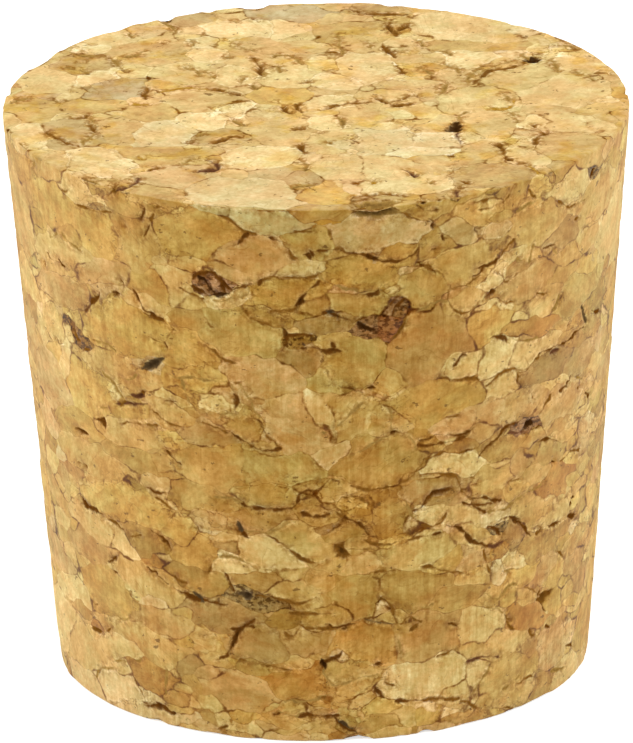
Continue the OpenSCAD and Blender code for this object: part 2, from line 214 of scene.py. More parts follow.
# Openings are paths with a half width at each point. On the side a point is azimuth, height and
# half width. On the large face it is x, y and half width. The first word is the lining's colour.
SIDE_OPENINGS = [
    ("faint", [(6.5, 37.5, 0.1), (9, 37.65, 0.4), (12, 37.65, 0.42), (15, 37.5, 0.15)]),
    ("dark", [(-58, 19.7, 0.05), (-57, 19.65, 0.16), (-55.2, 19.55, 0.2), (-53.6, 19.6, 0.07)]),
    ("brown", [(-58.5, 17.2, 0.06), (-57, 17.1, 0.1), (-55.6, 17.05, 0.1)]),
    ("dark", [(-36.7, 17, 0.06), (-35, 16.95, 0.09), (-33, 17, 0.08), (-31.5, 16.8, 0.05)]),
    ("brown", [(-35.8, 16.5, 0.05), (-34.2, 16.2, 0.1), (-32.3, 15.95, 0.08), (-30.4, 15.6, 0.06)]),
    ("dark", [
        (-59.3, 14.7, 0.08), (-57.8, 14.3, 0.16), (-56, 14.05, 0.14), (-54, 14.05, 0.12),
        (-51.2, 13.95, 0.08),
    ]),
    ("brown", [(-50, 13.75, 0.1), (-47.5, 13.6, 0.12), (-44.6, 13.55, 0.05)]),
    ("dark", [(-37, 13.8, 0.05), (-35, 13.5, 0.1), (-33.6, 13.35, 0.16), (-32.4, 13, 0.08)]),
    ("brown", [(-42, 13.2, 0.06), (-40.6, 13.2, 0.13)]),
    ("dark", [(-49.7, 10.5, 0.05), (-48.6, 10.8, 0.12), (-47.5, 11.05, 0.16)]),
    ("dark", [(-38.5, 10.9, 0.06), (-37.3, 10.75, 0.16), (-35.6, 10.6, 0.1), (-34.4, 10.2, 0.06)]),
    ("dark", [(-48.6, 10.15, 0.08), (-47.8, 10.1, 0.08)]),
    ("brown", [(-44.4, 9.05, 0.06), (-43.7, 9.05, 0.1)]),
    ("dark", [(-33, 10, 0.06), (-31.6, 9.9, 0.1), (-29.8, 9.65, 0.2), (-28.2, 9.6, 0.1)]),
    ("brown", [(-31.6, 10.8, 0.1), (-29.5, 10.9, 0.08)]),
    ("brown", [(-53.6, 5.25, 0.06), (-51.8, 5.75, 0.1), (-50.4, 6.15, 0.06)]),
    ("brown", [(-59.2, 5.1, 0.06), (-57, 5.1, 0.12), (-55.7, 5.3, 0.16), (-54.8, 5.2, 0.06)]),
    ("faint", [(-50, 6.3, 0.05), (-46, 6.95, 0.05), (-41.6, 7.3, 0.05)]),
    ("faint", [(-52, 3.2, 0.05), (-48.4, 3.6, 0.06), (-44.6, 3.9, 0.06), (-42, 4.2, 0.05)]),
    ("faint", [(-59, 1.5, 0.05), (-55, 2.8, 0.06), (-50, 3, 0.05)]),
    ("brown", [(-45.4, 2.4, 0.05), (-43, 1.6, 0.06), (-41.3, 0.8, 0.08)]),
    ("dark", [
        (-41.4, 0.75, 0.08), (-40, 1, 0.1), (-38.8, 1.2, 0.2), (-37.8, 1, 0.12), (-35.8, 1.05, 0.12),
        (-34.4, 0.7, 0.1),
    ]),
    ("faint", [(-35.9, 3.8, 0.05), (-36.8, 2.6, 0.07)]),
    ("brown", [(-56.6, 6.9, 0.05), (-55.3, 7, 0.08)]),
    ("brown", [(-40.4, 38, 0.08), (-41, 37.5, 0.1), (-42, 37.2, 0.05)]),
    ("brown", [(-54.2, 36.75, 0.05), (-52.6, 36.7, 0.09), (-50.8, 37, 0.05)]),
    ("brown", [(-50, 35.85, 0.06), (-47.5, 35.9, 0.09), (-44, 35.9, 0.06), (-42, 36.3, 0.05)]),
    ("dark", [(-32.8, 37, 0.06), (-33.5, 36.6, 0.12), (-34.3, 36.4, 0.07)]),
    ("dark", [(-32.6, 35.75, 0.06), (-33.1, 35.4, 0.14), (-34, 35.1, 0.05)]),
    ("brown", [(-31.6, 36.9, 0.05), (-32.4, 36.3, 0.07)]),
    ("brown", [(-37.6, 35.7, 0.08), (-37.3, 35.5, 0.1)]),
    ("brown", [(-31, 37.4, 0.1), (-30.3, 37.5, 0.06)]),
    ("dark", [(-58.6, 31.6, 0.06), (-57.6, 31.25, 0.13), (-56.2, 31, 0.07)]),
    ("brown", [(-62, 31.3, 0.06), (-60, 31.2, 0.06)]),
    ("brown", [(-40.5, 31.6, 0.08), (-39.9, 31.3, 0.14), (-39.7, 31, 0.05)]),
    ("dark", [(-42.8, 30.2, 0.06), (-42.1, 30.4, 0.2), (-41, 30.7, 0.14)]),
    ("dark", [
        (-50, 28.2, 0.07), (-49.3, 28.7, 0.08), (-48.1, 29.1, 0.12), (-47.2, 29.5, 0.22),
        (-46.5, 29.9, 0.1), (-45.2, 30.3, 0.05),
    ]),
    ("faint", [(-46.2, 29, 0.06), (-44.3, 29.5, 0.07), (-43, 30.3, 0.05)]),
    ("dark", [
        (-37, 30.8, 0.06), (-36.1, 30.4, 0.13), (-35, 29.95, 0.08), (-34, 29.7, 0.12),
        (-33, 29.5, 0.2), (-31.6, 29.45, 0.1),
    ]),
    ("brown", [(-31.6, 29.45, 0.08), (-30, 29.1, 0.06), (-28.4, 28.85, 0.05)]),
    ("brown", [(-35, 28.1, 0.06), (-32.4, 27.95, 0.06), (-30.6, 27.9, 0.05)]),
    ("dark", [(-30.5, 27.5, 0.12), (-30, 27.4, 0.12)]),
    ("slate", [
        (-36.4, 25.55, 0.08), (-35.2, 25.75, 0.3), (-33.6, 26.05, 0.4), (-32.2, 26.4, 0.2),
        (-31, 26.7, 0.06),
    ]),
    ("brown", [(-55, 27.2, 0.08), (-54.2, 26.8, 0.2), (-53.6, 26.4, 0.18), (-53, 26.1, 0.06)]),
    ("brown", [(-52.8, 25.6, 0.06), (-51.8, 25.65, 0.14), (-50.9, 25.8, 0.08)]),
    ("brown", [(-50.2, 26.8, 0.06), (-48.8, 26.85, 0.07)]),
    ("faint", [(-48, 26.7, 0.05), (-44, 26.6, 0.06), (-42.3, 26.35, 0.06)]),
    ("faint", [(-46.4, 24.6, 0.06), (-44, 24.2, 0.09), (-43.1, 23.5, 0.12), (-42.2, 23.1, 0.1)]),
    ("faint", [(-42.4, 24.5, 0.05), (-39.6, 24.55, 0.07), (-37, 24.85, 0.05)]),
    ("dark", [(-31.2, 23.85, 0.07), (-30, 23.7, 0.16), (-28.8, 23.6, 0.08)]),
    ("red", [
        (-43, 22.4, 0.08), (-41.2, 22.55, 0.14), (-39, 22.55, 0.18), (-37.4, 22.8, 0.16),
        (-35.8, 23, 0.1),
    ]),
    ("brown", [(-42.6, 22.2, 0.12), (-41.6, 22.6, 0.16)]),
    ("faint", [(-50, 21.6, 0.05), (-47, 21.7, 0.05)]),
    ("brown", [
        (-42.6, 20.9, 0.08), (-40, 21.35, 0.06), (-38, 21.3, 0.1), (-36, 21.4, 0.08),
        (-33.4, 21.7, 0.1),
    ]),
    ("brown", [(-34.2, 22.9, 0.05), (-32.2, 22.2, 0.09), (-31, 22, 0.06), (-28.6, 22, 0.05)]),
    ("dark", [(-49.3, 21.05, 0.07), (-48.1, 20.95, 0.12), (-47.6, 20.8, 0.22), (-47.4, 20.4, 0.1)]),
    ("dark", [(-62.5, 25.25, 0.12), (-61, 25.15, 0.1), (-60, 25.1, 0.07)]),
    ("dark", [(-31.4, 19.95, 0.06), (-30, 19.6, 0.1), (-28.2, 19.25, 0.14)]),
    ("faint", [(-60, 32.6, 0.05), (-57.4, 33, 0.05)]),
    ("faint", [(-55, 33.4, 0.04), (-50, 32.5, 0.05)]),
    ("dark", [(-65, 30.5, 0.13), (-63.6, 30.7, 0.2)]),
    ("faint", [(-66, 37.2, 0.08), (-64, 37.4, 0.14)]),
    ("brown", [(-21, 37.95, 0.05), (-16, 37.9, 0.08), (-9, 37.85, 0.1), (-4, 37.8, 0.07)]),
    ("brown", [(5.8, 37.7, 0.08), (8, 38, 0.1), (12, 38, 0.12), (15, 37.8, 0.08)]),
    ("brown", [(6, 37.6, 0.12), (9, 37.45, 0.1), (13, 37.45, 0.08)]),
    ("brown", [(-20, 37.6, 0.04), (-15.5, 37, 0.06), (-13, 36.4, 0.1), (-11.5, 36.3, 0.05)]),
    ("dark", [(-12.7, 36, 0.12), (-13.5, 35.7, 0.14), (-14.6, 35.2, 0.06)]),
    ("dark", [(-9.2, 35.85, 0.06), (-7.5, 35.8, 0.1), (-6, 35.7, 0.07)]),
    ("brown", [(-4.9, 36.5, 0.06), (-3, 36.35, 0.05), (-1, 36.3, 0.05)]),
    ("dark", [(-2.4, 35.1, 0.08), (-1.6, 34.9, 0.24), (-1, 34.55, 0.1)]),
    ("dark", [(-1.7, 35.3, 0.05), (-1.5, 34.9, 0.15)]),
    ("brown", [(-5.7, 35, 0.06), (-5, 34.6, 0.1), (-3.5, 34.6, 0.04)]),
    ("dark", [(-24, 32.9, 0.05), (-22.5, 33.35, 0.12), (-20.9, 33.2, 0.12), (-19.8, 33.05, 0.1)]),
    ("dark", [(-19.9, 33.1, 0.08), (-18.5, 32.75, 0.14), (-17.4, 32.2, 0.22), (-16.9, 31.9, 0.1)]),
    ("dark", [(-23.8, 32.3, 0.08), (-22.6, 32.1, 0.2), (-21.3, 32.1, 0.16), (-21.2, 31.7, 0.08)]),
    ("dark", [(-16.8, 32.3, 0.12), (-15.2, 32.6, 0.1), (-13.4, 32.75, 0.05)]),
    ("dark", [(-17.2, 31.75, 0.06), (-15.3, 31.95, 0.08)]),
    ("black", [(-22.6, 32.75, 0.1), (-21, 32.5, 0.2), (-19.6, 32.1, 0.16)]),
    ("black", [(-20.6, 31.7, 0.1), (-18.6, 31.75, 0.2), (-16.8, 31.65, 0.1)]),
    ("dark", [(-18.9, 32.5, 0.1), (-17.7, 32.1, 0.14)]),
    ("brown", [(-26.5, 31.9, 0.04), (-24, 31.5, 0.06), (-22.6, 31.25, 0.13)]),
    ("faint", [(-19.6, 31.2, 0.05), (-16, 31.3, 0.06), (-14, 31.8, 0.06), (-12.8, 32.5, 0.06)]),
    ("brown", [
        (-11, 32.85, 0.04), (-8, 33, 0.05), (-6, 33.45, 0.1), (-4.2, 32.95, 0.1), (-2.5, 33.1, 0.08),
        (0, 33.3, 0.05),
    ]),
    ("dark", [(-11, 32.45, 0.06), (-10.4, 32.65, 0.1)]),
    ("dark", [
        (0, 32.7, 0.06), (-2.4, 32.45, 0.08), (-3.1, 32, 0.1), (-3.4, 31.5, 0.14), (-4.6, 31.3, 0.12),
    ]),
    ("brown", [(-4.6, 31.2, 0.08), (-6.5, 30.85, 0.06), (-10, 30.7, 0.06)]),
    ("brown", [(-13.4, 30.8, 0.05), (-12.1, 30, 0.06), (-8.8, 29.65, 0.06), (-6.8, 29.6, 0.06)]),
    ("dark", [
        (-6.6, 29.75, 0.12), (-5.6, 29.2, 0.2), (-5.9, 28.7, 0.18), (-6.2, 28.1, 0.14),
        (-7.4, 28, 0.06),
    ]),
    ("dark", [(-5.4, 29.1, 0.14), (-3.7, 29.1, 0.08), (-2.2, 29, 0.12)]),
    ("dark", [
        (-3, 28.3, 0.06), (-1.5, 28.1, 0.08), (0, 28.1, 0.1), (1.5, 28, 0.12), (3, 28.1, 0.14),
        (4.6, 27.9, 0.06),
    ]),
    ("dark", [(2.6, 28.6, 0.05), (3.3, 28.2, 0.1)]),
    ("brown", [(-22, 29.65, 0.08), (-20.6, 29.4, 0.1), (-19.6, 29.2, 0.06)]),
    ("brown", [(-24, 28, 0.03), (-20.8, 27.5, 0.1), (-18.5, 27, 0.08), (-16, 26.7, 0.04)]),
    ("brown", [(-19.6, 25.7, 0.06), (-17.5, 25.75, 0.07), (-15.5, 25.6, 0.05)]),
    ("faint", [(-15.5, 25.6, 0.05), (-14, 24.7, 0.05), (-12.6, 23.8, 0.06), (-11.9, 23, 0.05)]),
    ("faint", [(-30, 25.3, 0.05), (-25, 25.5, 0.05), (-21, 25.6, 0.05)]),
    ("dark", [(-17.2, 24.6, 0.1), (-16.4, 24.5, 0.2), (-16.9, 24.15, 0.16), (-17.3, 23.8, 0.05)]),
    ("dark", [(-14.3, 22.9, 0.05), (-13.2, 23.15, 0.1), (-12.5, 22.75, 0.12), (-11.7, 22.2, 0.1)]),
    ("dark", [
        (-17.6, 21.95, 0.1), (-16, 21.6, 0.1), (-14.2, 21.15, 0.12), (-11, 20.85, 0.1),
        (-8.3, 20.85, 0.1),
    ]),
    ("brown", [(-8.2, 20.9, 0.08), (-7.7, 21.15, 0.06), (-9.2, 21.7, 0.05), (-11.7, 22.2, 0.07)]),
    ("brown", [(-23.2, 22.4, 0.08), (-20.8, 22, 0.06), (-18.9, 21.75, 0.04)]),
    ("faint", [(-23.2, 22.5, 0.05), (-20.3, 22.75, 0.05), (-18.3, 23.4, 0.06), (-16.5, 23.3, 0.05)]),
    ("dark", [(-30.3, 23.7, 0.1), (-29.3, 23.7, 0.08)]),
    ("brown", [(-30, 29, 0.05), (-28, 28.85, 0.06)]),
    ("faint", [(-27, 25.3, 0.06), (-26.2, 24.6, 0.06), (-26.6, 24.1, 0.05)]),
    ("brown", [(-1.8, 19.9, 0.07), (0, 19.9, 0.05)]),
    ("dark", [(-5, 17.3, 0.12), (-4.6, 17.9, 0.1), (-3.5, 18.15, 0.05), (0, 18.1, 0.05)]),
    ("dark", [
        (-16.1, 16.8, 0.08), (-14.3, 16.75, 0.12), (-12.9, 16.4, 0.14), (-10.9, 16.4, 0.08),
        (-6.9, 16.5, 0.1), (-5.9, 16.85, 0.05),
    ]),
    ("faint", [(-22, 17, 0.05), (-20, 17.2, 0.05), (-16.1, 16.8, 0.06)]),
    ("dark", [(-3.2, 16.5, 0.14), (-0.6, 16.15, 0.1), (1.5, 16.1, 0.05)]),
    ("faint", [(-0.6, 19, 0.05), (-0.5, 18.2, 0.05)]),
    ("slate", [(-17.4, 15.6, 0.1), (-16.4, 15.2, 0.16)]),
    ("dark", [(-16.1, 14.85, 0.12), (-15.4, 14.7, 0.12)]),
    ("faint", [(-15, 15.1, 0.05), (-10, 14.9, 0.05), (-7.4, 15.4, 0.05), (-5.1, 15.8, 0.05)]),
    ("brown", [
        (-9, 14.6, 0.08), (-6.9, 14.25, 0.1), (-6.1, 13.85, 0.1), (-4.3, 13.4, 0.14),
        (-2.7, 13.1, 0.1), (0, 13, 0.07),
    ]),
    ("brown", [(-27.6, 14.7, 0.08), (-26.3, 14.75, 0.14)]),
    ("faint", [
        (-24.8, 12.6, 0.04), (-20.6, 12.9, 0.06), (-16.4, 12.9, 0.05), (-14.3, 12.5, 0.06),
        (-10, 12.25, 0.05),
    ]),
    ("brown", [(-23.7, 12, 0.08), (-23.2, 11.7, 0.1)]),
    ("dark", [
        (-19.8, 11.8, 0.05), (-19.2, 11.4, 0.1), (-18.7, 11.1, 0.12), (-19.2, 10.8, 0.1),
        (-18.5, 10.5, 0.08),
    ]),
    ("slate", [(-17.4, 10.5, 0.1), (-16, 10.4, 0.3), (-14.8, 10.3, 0.12)]),
    ("brown", [(-14.5, 10.3, 0.07), (-9.3, 10.1, 0.06), (-5.3, 10, 0.07), (-2.2, 10.3, 0.05)]),
    ("slate", [(-28, 9.8, 0.1), (-26.8, 9.85, 0.24), (-25.6, 9.75, 0.1)]),
    ("dark", [
        (-30, 9.6, 0.06), (-27.9, 9.6, 0.14), (-26, 9.45, 0.12), (-24.8, 9.6, 0.18),
        (-23.2, 9.5, 0.08), (-20.6, 9.4, 0.03),
    ]),
    ("dark", [
        (-15.3, 8.7, 0.06), (-16.1, 8.35, 0.16), (-17.4, 8, 0.2), (-17.9, 7.5, 0.18),
        (-19.2, 6.65, 0.22), (-19.8, 6.1, 0.12),
    ]),
    ("dark", [(-19.8, 6.1, 0.1), (-21.6, 5.65, 0.07), (-23.4, 5.6, 0.04)]),
    ("dark", [(-19.5, 8.1, 0.04), (-17.7, 8, 0.1), (-15.3, 8.2, 0.08), (-14.3, 8.1, 0.05)]),
    ("faint", [(-14.2, 8.1, 0.05), (-9.8, 7.9, 0.05)]),
    ("dark", [(-26.3, 7, 0.05), (-25, 7.05, 0.09), (-23.4, 7.1, 0.05)]),
    ("brown", [(-7.4, 9, 0.1), (-4.8, 8.95, 0.06), (2, 9.1, 0.05)]),
    ("brown", [(-7.4, 7.75, 0.06), (-6.6, 7.4, 0.09), (-5.3, 7.5, 0.07), (-5.3, 7.9, 0.05)]),
    ("brown", [(-4.8, 8.15, 0.06), (-1, 8.2, 0.07), (2, 8.15, 0.06)]),
    ("brown", [
        (-17.4, 5.5, 0.05), (-14.3, 5.3, 0.05), (-10, 5.25, 0.06), (-7.4, 4.9, 0.1),
        (-4.8, 4.85, 0.06),
    ]),
    ("black", [(-1, 5.85, 0.08), (0, 5.6, 0.24), (0.6, 5.2, 0.14)]),
    ("dark", [(0, 5.6, 0.2), (1.4, 5.7, 0.16), (2.2, 6.1, 0.08), (3.8, 6.2, 0.04)]),
    ("faint", [(0.4, 5.1, 0.07), (2, 4.3, 0.06)]),
    ("brown", [(-1.7, 3.15, 0.07), (-0.6, 3.25, 0.08)]),
    ("faint", [(-9, 3, 0.04), (-1.7, 3.1, 0.05), (2, 3.6, 0.04)]),
    ("dark", [(-5.9, 2, 0.07), (-4.3, 2, 0.18), (-0.6, 1.85, 0.1), (2.1, 1.65, 0.1)]),
    ("dark", [(-10.7, 1.75, 0.1), (-9.9, 1.8, 0.06)]),
    ("faint", [(-9.9, 1.8, 0.05), (-5.9, 1.95, 0.05)]),
    ("brown", [(-24.2, 0.5, 0.06), (-22.1, 0.85, 0.09)]),
    ("dark", [
        (0, 35.35, 0.05), (2, 35.4, 0.06), (3.6, 35.3, 0.08), (5.3, 34.85, 0.09), (7.7, 34.75, 0.08),
        (8.7, 34.5, 0.16),
    ]),
    ("dark", [
        (8.7, 34.5, 0.14), (9.9, 34.1, 0.24), (11.3, 34, 0.16), (14, 34.2, 0.12), (16.9, 34.4, 0.08),
        (18.6, 34.9, 0.05),
    ]),
    ("dark", [(17.5, 35, 0.05), (18.1, 35.05, 0.1)]),
    ("dark", [(21.2, 37, 0.05), (21.2, 36.5, 0.07), (21.1, 36.3, 0.16)]),
    ("dark", [(17.9, 37.7, 0.05), (19.3, 37.4, 0.08), (21.2, 37.35, 0.1), (22.2, 37.5, 0.1)]),
    ("brown", [(16.4, 37.3, 0.06), (18.6, 37, 0.06), (20, 36.5, 0.04)]),
    ("dark", [(21.4, 34.85, 0.1), (22.2, 34.8, 0.1)]),
    ("dark", [(23.1, 35.15, 0.1), (23.6, 34.9, 0.13)]),
    ("brown", [
        (20.3, 33.5, 0.06), (21, 32.9, 0.09), (22, 32.5, 0.1), (22.9, 32.6, 0.08), (22.4, 33.2, 0.07),
        (21.4, 33.5, 0.05),
    ]),
    ("dark", [(21.6, 33.3, 0.08), (22.1, 32.95, 0.12)]),
    ("dark", [(19.3, 33.95, 0.08), (19.7, 33.7, 0.08)]),
    ("faint", [(19.3, 34, 0.05), (16.9, 33.5, 0.06), (15, 33, 0.05), (12, 32.5, 0.05)]),
    ("faint", [(0, 33.3, 0.04), (2.9, 32.5, 0.06), (5.3, 32.3, 0.05), (11.8, 32.2, 0.05)]),
    ("dark", [(8.4, 31.75, 0.06), (9.7, 31.6, 0.12), (11.3, 31.6, 0.14), (11.6, 32.1, 0.08)]),
    ("slate", [(0.8, 30.7, 0.12), (2.4, 30.5, 0.2)]),
    ("dark", [(0, 30.85, 0.05), (1.9, 30.8, 0.08), (3.1, 30.4, 0.17), (4.6, 30.1, 0.06)]),
    ("brown", [(4.6, 30.1, 0.06), (7.2, 30, 0.05)]),
    ("dark", [(11.9, 30.8, 0.08), (12.4, 30.6, 0.14)]),
    ("black", [(7.3, 29.6, 0.1), (8.5, 29.6, 0.15), (9.8, 29.3, 0.08)]),
    ("dark", [(7.6, 30, 0.06), (9.3, 30.35, 0.1), (10.8, 30.3, 0.06)]),
    ("dark", [(13.6, 30.3, 0.1), (14.5, 30.6, 0.16), (15.4, 31.1, 0.12)]),
    ("dark", [(15.6, 30.7, 0.14), (16.9, 30.7, 0.08)]),
    ("dark", [(14.6, 31.7, 0.05), (14, 30.9, 0.07)]),
    ("brown", [
        (16.9, 30.2, 0.05), (16.3, 29.3, 0.1), (15, 28.7, 0.12), (13, 28.6, 0.09), (11.5, 28.8, 0.05),
    ]),
    ("red", [(13.9, 29.6, 0.1), (14.7, 29.4, 0.1)]),
    ("faint", [
        (16.9, 29.6, 0.06), (18.6, 30.3, 0.05), (20.8, 30.8, 0.07), (22.7, 30.9, 0.05),
        (24.6, 30.7, 0.05),
    ]),
    ("brown", [
        (24.8, 31.8, 0.05), (25, 30.7, 0.05), (26.3, 29.9, 0.08), (29, 29.75, 0.09),
        (31.4, 30.2, 0.06),
    ]),
    ("brown", [(25.3, 31.6, 0.05), (28, 31.7, 0.07), (31, 32.2, 0.06)]),
    ("faint", [(1, 26.3, 0.04), (2.9, 25.75, 0.06), (4.3, 25.5, 0.06)]),
    ("dark", [(4.3, 25.5, 0.06), (5.8, 25.25, 0.09), (8.2, 25.15, 0.06)]),
    ("dark", [(9.5, 25.25, 0.12), (10.1, 25.3, 0.16)]),
    ("faint", [
        (9.9, 24.6, 0.04), (7.2, 23.8, 0.05), (4.8, 23.2, 0.05), (2.4, 22.3, 0.06), (0, 22.1, 0.05),
    ]),
    ("dark", [(27, 26.1, 0.06), (27.5, 26.4, 0.1), (28.2, 26.6, 0.13), (29.9, 26.5, 0.05)]),
    ("brown", [(23.2, 25.75, 0.05), (25, 25.2, 0.05), (29, 25, 0.05), (30.9, 24.7, 0.08)]),
    ("dark", [(13.6, 22, 0.12), (14, 22, 0.15)]),
    ("faint", [(14, 22, 0.06), (16.4, 21.5, 0.05), (19.3, 20.5, 0.05)]),
    ("faint", [
        (13.3, 23.8, 0.04), (13.8, 22, 0.06), (11, 21.3, 0.06), (7.2, 20.5, 0.06), (4.8, 20.3, 0.04),
    ]),
    ("dark", [
        (20, 20.85, 0.07), (22.2, 21.2, 0.08), (24.1, 21.6, 0.06), (25.6, 21.25, 0.12), (29, 21, 0.1),
        (32, 21.2, 0.06),
    ]),
    ("dark", [(20, 20.8, 0.07), (23.2, 20.7, 0.06), (26, 20.6, 0.09), (28.5, 20.6, 0.08), (29.4, 21, 0.1)]),
    ("brown", [
        (20, 19.65, 0.05), (22.2, 19.75, 0.08), (26, 19.8, 0.05), (29, 19.75, 0.07), (31, 19.6, 0.12),
    ]),
    ("brown", [
        (19.3, 18.7, 0.06), (22.7, 18.7, 0.06), (25, 18.6, 0.1), (27, 18.2, 0.06), (28.8, 17, 0.09),
        (30.1, 16.4, 0.08), (32, 16.2, 0.14),
    ]),
    ("brown", [(20, 19.6, 0.05), (18.8, 18.8, 0.06), (16.4, 18.3, 0.06)]),
    ("brown", [(25, 22.3, 0.08), (27, 22.35, 0.06)]),
    ("dark", [
        (2.4, 18.8, 0.06), (3.6, 18.85, 0.08), (3.7, 18.3, 0.07), (2.5, 18.3, 0.06), (2.4, 18.8, 0.05),
    ]),
    ("brown", [(5.2, 18.1, 0.05), (9.9, 17.9, 0.07), (12.8, 17.8, 0.08)]),
    ("brown", [(4.2, 17.35, 0.06), (7.5, 17.35, 0.08), (9.4, 17.2, 0.08)]),
    ("dark", [
        (19.1, 15.9, 0.12), (20.2, 15.9, 0.12), (20.9, 16.3, 0.12), (20.7, 16.9, 0.12),
        (22, 17.35, 0.18),
    ]),
    ("dark", [
        (22, 17.35, 0.16), (23.6, 17.45, 0.22), (25.1, 17.3, 0.13), (27.2, 17.3, 0.06),
        (28.8, 17.5, 0.08),
    ]),
    ("faint", [(16.8, 16.8, 0.05), (17, 16, 0.06), (18.8, 15.8, 0.05)]),
    ("dark", [(31, 15.8, 0.1), (33.5, 15.8, 0.14), (36, 15.4, 0.06)]),
    ("brown", [(20.7, 15.2, 0.08), (22.5, 14.9, 0.1), (24.3, 14.9, 0.08), (25.1, 15.5, 0.05)]),
    ("dark", [
        (26.2, 14.5, 0.08), (28.3, 14.2, 0.13), (30.1, 13.75, 0.13), (32, 13.3, 0.14),
        (36, 12.8, 0.06),
    ]),
    ("dark", [(22.6, 14.15, 0.1), (23.8, 14.1, 0.13)]),
    ("brown", [(7.8, 14.2, 0.05), (11.5, 14.05, 0.07), (17, 14, 0.05), (22.6, 14.15, 0.06)]),
    ("brown", [(4.5, 13.75, 0.06), (8, 13.75, 0.09), (11, 13.7, 0.07)]),
    ("faint", [(11.3, 13.5, 0.05), (12.6, 12.7, 0.05)]),
    ("brown", [(10, 12.15, 0.06), (13.6, 12.1, 0.06), (14.4, 11.7, 0.09)]),
    ("brown", [
        (19.6, 12.15, 0.05), (22, 12.1, 0.1), (26.2, 11.5, 0.05), (28.3, 11, 0.09), (32, 10.8, 0.05),
    ]),
    ("dark", [(1, 15.1, 0.1), (1.8, 15.4, 0.13), (2.6, 15.6, 0.06)]),
    ("dark", [(5, 16, 0.05), (6.8, 15.4, 0.1), (8.9, 14.9, 0.08)]),
    ("brown", [(0, 16.7, 0.05), (4.2, 16.3, 0.05)]),
    ("brown", [(11.3, 11.2, 0.04), (13.4, 9.5, 0.08), (14.9, 8.3, 0.09)]),
    ("dark", [(11, 9.7, 0.05), (13.4, 9.3, 0.08)]),
    ("dark", [(0.5, 8.5, 0.08), (3, 8.3, 0.11), (5, 8.25, 0.11), (7.9, 8.2, 0.05)]),
    ("dark", [(3.6, 8.1, 0.12), (4.1, 8.1, 0.14)]),
    ("slate", [(7.9, 8.6, 0.07), (10.5, 8.6, 0.12), (12.6, 8.4, 0.09), (14.7, 8.4, 0.06)]),
    ("brown", [(16, 8.4, 0.04), (17.8, 8.9, 0.07), (19, 8.5, 0.07), (19.7, 8.1, 0.1), (21, 7.95, 0.05)]),
    ("brown", [(19, 7.55, 0.08), (20, 7.65, 0.08)]),
    ("faint", [(15.7, 9.1, 0.04), (20, 9, 0.05), (23.5, 9, 0.05)]),
    ("faint", [(15.2, 7.8, 0.06), (16.2, 7, 0.05), (16.8, 6, 0.04)]),
    ("dark", [(26.2, 7.5, 0.05), (28, 7.55, 0.12), (29, 7.3, 0.07)]),
    ("dark", [(10.7, 5.2, 0.08), (11.8, 5.3, 0.12)]),
    ("faint", [(11.8, 4.85, 0.05), (7.9, 4.3, 0.05), (2, 4.3, 0.05)]),
    ("dark", [(9.9, 3.5, 0.05), (10.7, 3.9, 0.1), (11, 3.4, 0.15), (11.8, 2.8, 0.06)]),
    ("brown", [(12.8, 3.75, 0.06), (14.4, 3.5, 0.07)]),
    ("dark", [(15.2, 2.9, 0.1), (15.7, 2.5, 0.13), (17.3, 2.5, 0.06), (19.1, 2.75, 0.1), (21, 2.4, 0.06)]),
    ("brown", [(21, 2.4, 0.05), (26, 2.25, 0.06), (29, 2.1, 0.05)]),
    ("brown", [(25, 5.2, 0.06), (26.7, 5.3, 0.09), (28.5, 5.6, 0.05)]),
    ("dark", [(1.6, 1.75, 0.06), (3.1, 1.35, 0.14), (6, 0.6, 0.14), (8.1, 0.25, 0.08)]),
    ("slate", [(2.8, 1.3, 0.06), (4.2, 1.1, 0.2), (5.4, 0.8, 0.08)]),
    ("brown", [(30, 37.3, 0.05), (32.2, 37.1, 0.08), (35, 37.5, 0.05)]),
    ("brown", [(31, 36.75, 0.05), (33.4, 36.7, 0.08), (36, 37, 0.06), (38, 37.6, 0.04)]),
    ("brown", [(42.6, 37.4, 0.05), (43.4, 36.9, 0.1), (43.6, 36.3, 0.08)]),
    ("faint", [(39.8, 36, 0.05), (42, 36.1, 0.05), (44.4, 35.95, 0.06)]),
    ("brown", [(44.4, 35.9, 0.06), (46.2, 35.85, 0.06)]),
    ("dark", [(60.8, 36.2, 0.16), (61.6, 36.5, 0.3), (62.4, 36.6, 0.12)]),
    ("brown", [(50, 35.75, 0.05), (51.8, 35.3, 0.06), (53.8, 34.95, 0.09), (55.6, 34.7, 0.06)]),
    ("faint", [(55.6, 34.7, 0.05), (60, 34.8, 0.05)]),
    ("dark", [(30, 35.25, 0.14), (31, 35.1, 0.06)]),
    ("dark", [(30, 32.85, 0.06), (31.4, 32.7, 0.09), (33, 32.9, 0.08), (34.8, 33, 0.08)]),
    ("dark", [(30, 32.15, 0.1), (31.2, 32.25, 0.1), (32.4, 32.75, 0.12)]),
    ("brown", [(35.6, 33.2, 0.07), (37, 33.5, 0.08), (38.2, 33.8, 0.09), (39.2, 34.1, 0.06)]),
    ("brown", [(37.9, 33.3, 0.05), (38.8, 33, 0.07)]),
    ("faint", [(39.6, 32.7, 0.07), (40.2, 32.2, 0.08), (42, 32.45, 0.06)]),
    ("faint", [(42.8, 32.2, 0.05), (44.2, 33.1, 0.05)]),
    ("dark", [(47.3, 32.7, 0.1), (48.2, 32.75, 0.13), (49.8, 32.85, 0.06)]),
    ("faint", [(49.8, 32.2, 0.06), (51, 31.8, 0.08), (53.2, 31.7, 0.06)]),
    ("brown", [(56, 33.6, 0.06), (57.2, 33.5, 0.07)]),
    ("brown", [(58.8, 32.7, 0.07), (59.8, 32.6, 0.1)]),
    ("dark", [
        (30, 30.1, 0.05), (32, 30.45, 0.05), (33.3, 30.6, 0.08), (34.4, 30.75, 0.2),
        (35.2, 30.6, 0.07),
    ]),
